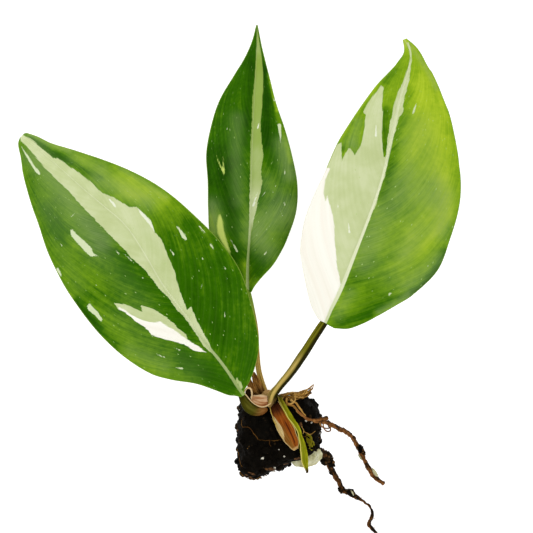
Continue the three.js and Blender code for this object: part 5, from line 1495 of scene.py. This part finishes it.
def leaf_finish(name):
    """Green tissue in streaks and soft bands along the veins, the bands partly painted light and shade,
    with a painted grey sheen on it in places, and the cream, white and flecks laid over it, their
    borders torn along the veins."""
    finish = new_finish(name, roughness=0.4, specular=0.012)
    fine = fibres(finish, 0.5, 7.0, 5.0)
    clouds = blotches(finish, 7.0, 5.0)
    tone = marked(finish, "light")
    parts = (
        (fine, 0.5), (fibres(finish, 1.8, 24.0, 4.0, 3.0), 0.5), (clouds, 0.45),
        (fibres(finish, 3.6, 60.0, 3.0, 5.0), 0.35), (blotches(finish, 1.6, 4.0, 2.0), 0.35),
    )
    for part, weight in parts:
        tone = plus(finish, tone, times(finish, minus(finish, part, 0.5), weight))
    spread = node(finish, "MapRange", {0: tone, 1: -1.0, 2: 1.0}).outputs[0]
    green = shades(
        finish, spread,
        (0.08, seen(28, 74, 0)), (0.32, seen(52, 106, 0)), (0.5, seen(103, 148, 16)),
        (0.66, seen(142, 179, 28)), (0.8, seen(170, 199, 40)), (0.95, seen(190, 214, 54)),
    )
    # Painted sheen: a grey highlight laid over the green where the sheen mark is high, patchy along the
    # streaks.
    painted_sheen = times(finish, marked(finish, "sheen"),
                 node(finish, "MapRange", {0: fine, 1: 0.3, 2: 0.7, 3: 0.45, 4: 1.0}).outputs[0])
    green = laid_over(finish, painted_sheen, green, seen(134, 162, 94))

    torn = marked(finish, "cream")
    for width, length, shift, reach in ((2.2, 16.0, 2.0, 1.2), (0.6, 3.0, 7.0, 0.8)):
        part = minus(finish, fibres(finish, width, length, 4.0, shift), 0.5)
        torn = plus(finish, torn, times(finish, part, reach))
    in_cream = step_up(finish, torn, -0.1, 0.12)
    cream = shades(
        finish, plus(finish, times(finish, fibres(finish, 2.5, 30.0, 3.0, 8.0), 0.3),
                     times(finish, clouds, 0.7)),
        (0.36, seen(200, 212, 152)), (0.5, seen(208, 219, 163)), (0.64, seen(217, 226, 176)),
    )
    cream = laid_over(finish, marked(finish, "wash"), cream, seen(142, 172, 58))
    white_depth = plus(finish, marked(finish, "white"),
                       minus(finish, torn, marked(finish, "cream")))
    in_white = step_up(finish, white_depth, -0.2, 0.25)
    white = shades(finish, fibres(finish, 5.0, 60.0, 2.0, 9.0),
                   (0.38, seen(260, 255, 241)), (0.6, seen(264, 262, 250)))
    colour = laid_over(finish, in_cream, green, laid_over(finish, in_white, cream, white))

    ragged = minus(finish, fibres(finish, 0.45, 2.2, 3.0, 6.0), 0.6)
    lime = laid_over(finish, step_up(finish, marked(finish, "lime_fleck"), 0.2, 0.7),
                     seen(178, 202, 96), seen(226, 240, 126))
    for mark, paint in (("fleck", laid_over(finish, in_cream, seen(220, 232, 188), seen(244, 249, 224))),
                        ("lime_fleck", lime)):
        depth = plus(finish, marked(finish, mark), ragged)
        colour = laid_over(finish, step_up(finish, depth, -0.08, 0.1), colour, paint)

    where = node(finish, "Attribute", attribute_name="grain").outputs["Vector"]
    dots = node(finish, "TexVoronoi", {"Vector": where, "Scale": 0.42, "Randomness": 1.0})
    chance = node(finish, "SeparateColor", {0: dots.outputs["Color"]})
    dotted = times(finish, step_up(finish, dots.outputs["Distance"], 0.15, 0.06),
                   step_up(finish, chance.outputs[0], 0.3, 0.9))
    dot_colour = laid_over(finish, in_white, seen(184, 212, 130), seen(255, 254, 240))
    colour = laid_over(finish, dotted, colour, dot_colour)

    colour = laid_over(finish, times(finish, marked(finish, "vein"), 0.04), colour, seen(150, 178, 84))
    rib_colour = laid_over(finish, marked(finish, "rib_pale"), seen(130, 160, 40), seen(242, 247, 208))
    in_rib = times(finish, step_up(finish, marked(finish, "rib"), -0.15, 0.15),
                   marked(finish, "rib_share"))
    colour = laid_over(finish, in_rib, colour, rib_colour)
    at_margin = times(finish, step_up(finish, marked(finish, "margin"), 0.4, 0.1),
                      minus(finish, 0.6, times(finish, in_white, 0.6)))
    margin_colour = laid_over(finish, marked(finish, "margin_green"), seen(160, 184, 76), seen(96, 140, 14))
    colour = laid_over(finish, at_margin, colour, margin_colour)
    underside = times(finish, minus(finish, 1.0, marked(finish, "inner")), 0.5)
    colour = laid_over(finish, underside, colour, seen(150, 172, 104))
    apply_colour(finish, colour)
    apply_roughness(finish, fine, 0.32, 0.5)
    skin = plus(finish, times(finish, fibres(finish, 0.4, 6.0, 4.0, 1.0), 0.6),
                times(finish, blotches(finish, 0.35, 2.0), 0.4))
    apply_relief(finish, skin, 0.04)
    return finish


blade_finish = leaf_finish("splashed_leaf")
left_leaf = make_piece("left_leaf_blade", [blade_form(LEFT_BLADE)], blade_finish)
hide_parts("left_blade")
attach(left_leaf, "root")

centre_leaf = make_piece("middle_leaf_blade", [blade_form(CENTRE_BLADE)], blade_finish)
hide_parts("centre_blade")
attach(centre_leaf, "root")

right_leaf = make_piece("right_leaf_blade", [blade_form(RIGHT_BLADE)], blade_finish)
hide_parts("right_blade")
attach(right_leaf, "root")


# Studio
# A white light table that glows a little, a pale surround that is dark right overhead, and two large
# soft lamps. The camera looks straight down on the plant from far off, through a long lens.

FLOOR_REACH = 4
TABLE_GLOW = 0.85
LAMP_SIZE = 0.9
LAMP_AIM = (0, 0.06, 0.02)
CAMERA_HEIGHT = 4.0
VIEW_CENTRE = (-0.00475, 0.06517)
VIEW_WIDTH = 0.2025
FOCUS_HEIGHT = 0.022
SENSOR_WIDTH = 36

floor_finish = new_finish("studio_floor", roughness=0.9, specular=0.1)
table_glow = floor_finish.node_tree.nodes["Principled BSDF"].inputs
table_glow["Emission Color"].default_value = (1, 1, 1, 1)
table_glow["Emission Strength"].default_value = TABLE_GLOW
apply_colour(floor_finish, shades(floor_finish, blotches(floor_finish, 400.0, 1.0),
                                  (0.3, (0.5, 0.5, 0.5, 1)), (0.7, (0.53, 0.53, 0.53, 1))))
floor_mesh = bpy.data.meshes.new("studio_floor")
floor_corners = [(x * FLOOR_REACH, y * FLOOR_REACH, 0) for x, y in ((-1, -1), (1, -1), (1, 1), (-1, 1))]
floor_mesh.from_pydata(floor_corners, [], [(0, 1, 2, 3)])
floor_mesh.materials.append(floor_finish)
floor = bpy.data.objects.new("studio_floor", floor_mesh)
bpy.context.scene.collection.objects.link(floor)

world = bpy.data.worlds.new("pale_surround")
world.use_nodes = True
surround = world.node_tree
sky_way = surround.nodes.new("ShaderNodeTexCoord")
split = surround.nodes.new("ShaderNodeSeparateXYZ")
overhead = surround.nodes.new("ShaderNodeMapRange")
surround.links.new(sky_way.outputs["Generated"], split.inputs[0])
surround.links.new(split.outputs["Z"], overhead.inputs["Value"])
for socket, value in (("From Min", 0.7), ("From Max", 0.96), ("To Min", 1.25), ("To Max", 0.12)):
    overhead.inputs[socket].default_value = value
surround.links.new(overhead.outputs[0], surround.nodes["Background"].inputs["Strength"])
surround.nodes["Background"].inputs["Color"].default_value = (1, 1, 1, 1)
bpy.context.scene.world = world

for name, place, power in (("left_lamp", (-0.9, 0.55, 1.1), 8), ("right_lamp", (0.85, -0.5, 1.2), 6)):
    lamp_data = bpy.data.lights.new(name, "AREA")
    lamp_data.size = LAMP_SIZE
    lamp_data.energy = power
    lamp = bpy.data.objects.new(name, lamp_data)
    lamp.location = place
    aim = Vector(LAMP_AIM) - Vector(place)
    lamp.rotation_euler = aim.to_track_quat("-Z", "Y").to_euler()
    bpy.context.scene.collection.objects.link(lamp)

camera_data = bpy.data.cameras.new("camera")
camera_data.sensor_width = SENSOR_WIDTH
camera_data.lens = SENSOR_WIDTH * (CAMERA_HEIGHT - FOCUS_HEIGHT) / VIEW_WIDTH
camera_data.clip_end = 50
camera = bpy.data.objects.new("camera", camera_data)
camera.location = (*VIEW_CENTRE, CAMERA_HEIGHT)
bpy.context.scene.collection.objects.link(camera)
bpy.context.scene.camera = camera
bpy.context.scene.view_settings.view_transform = "Standard"
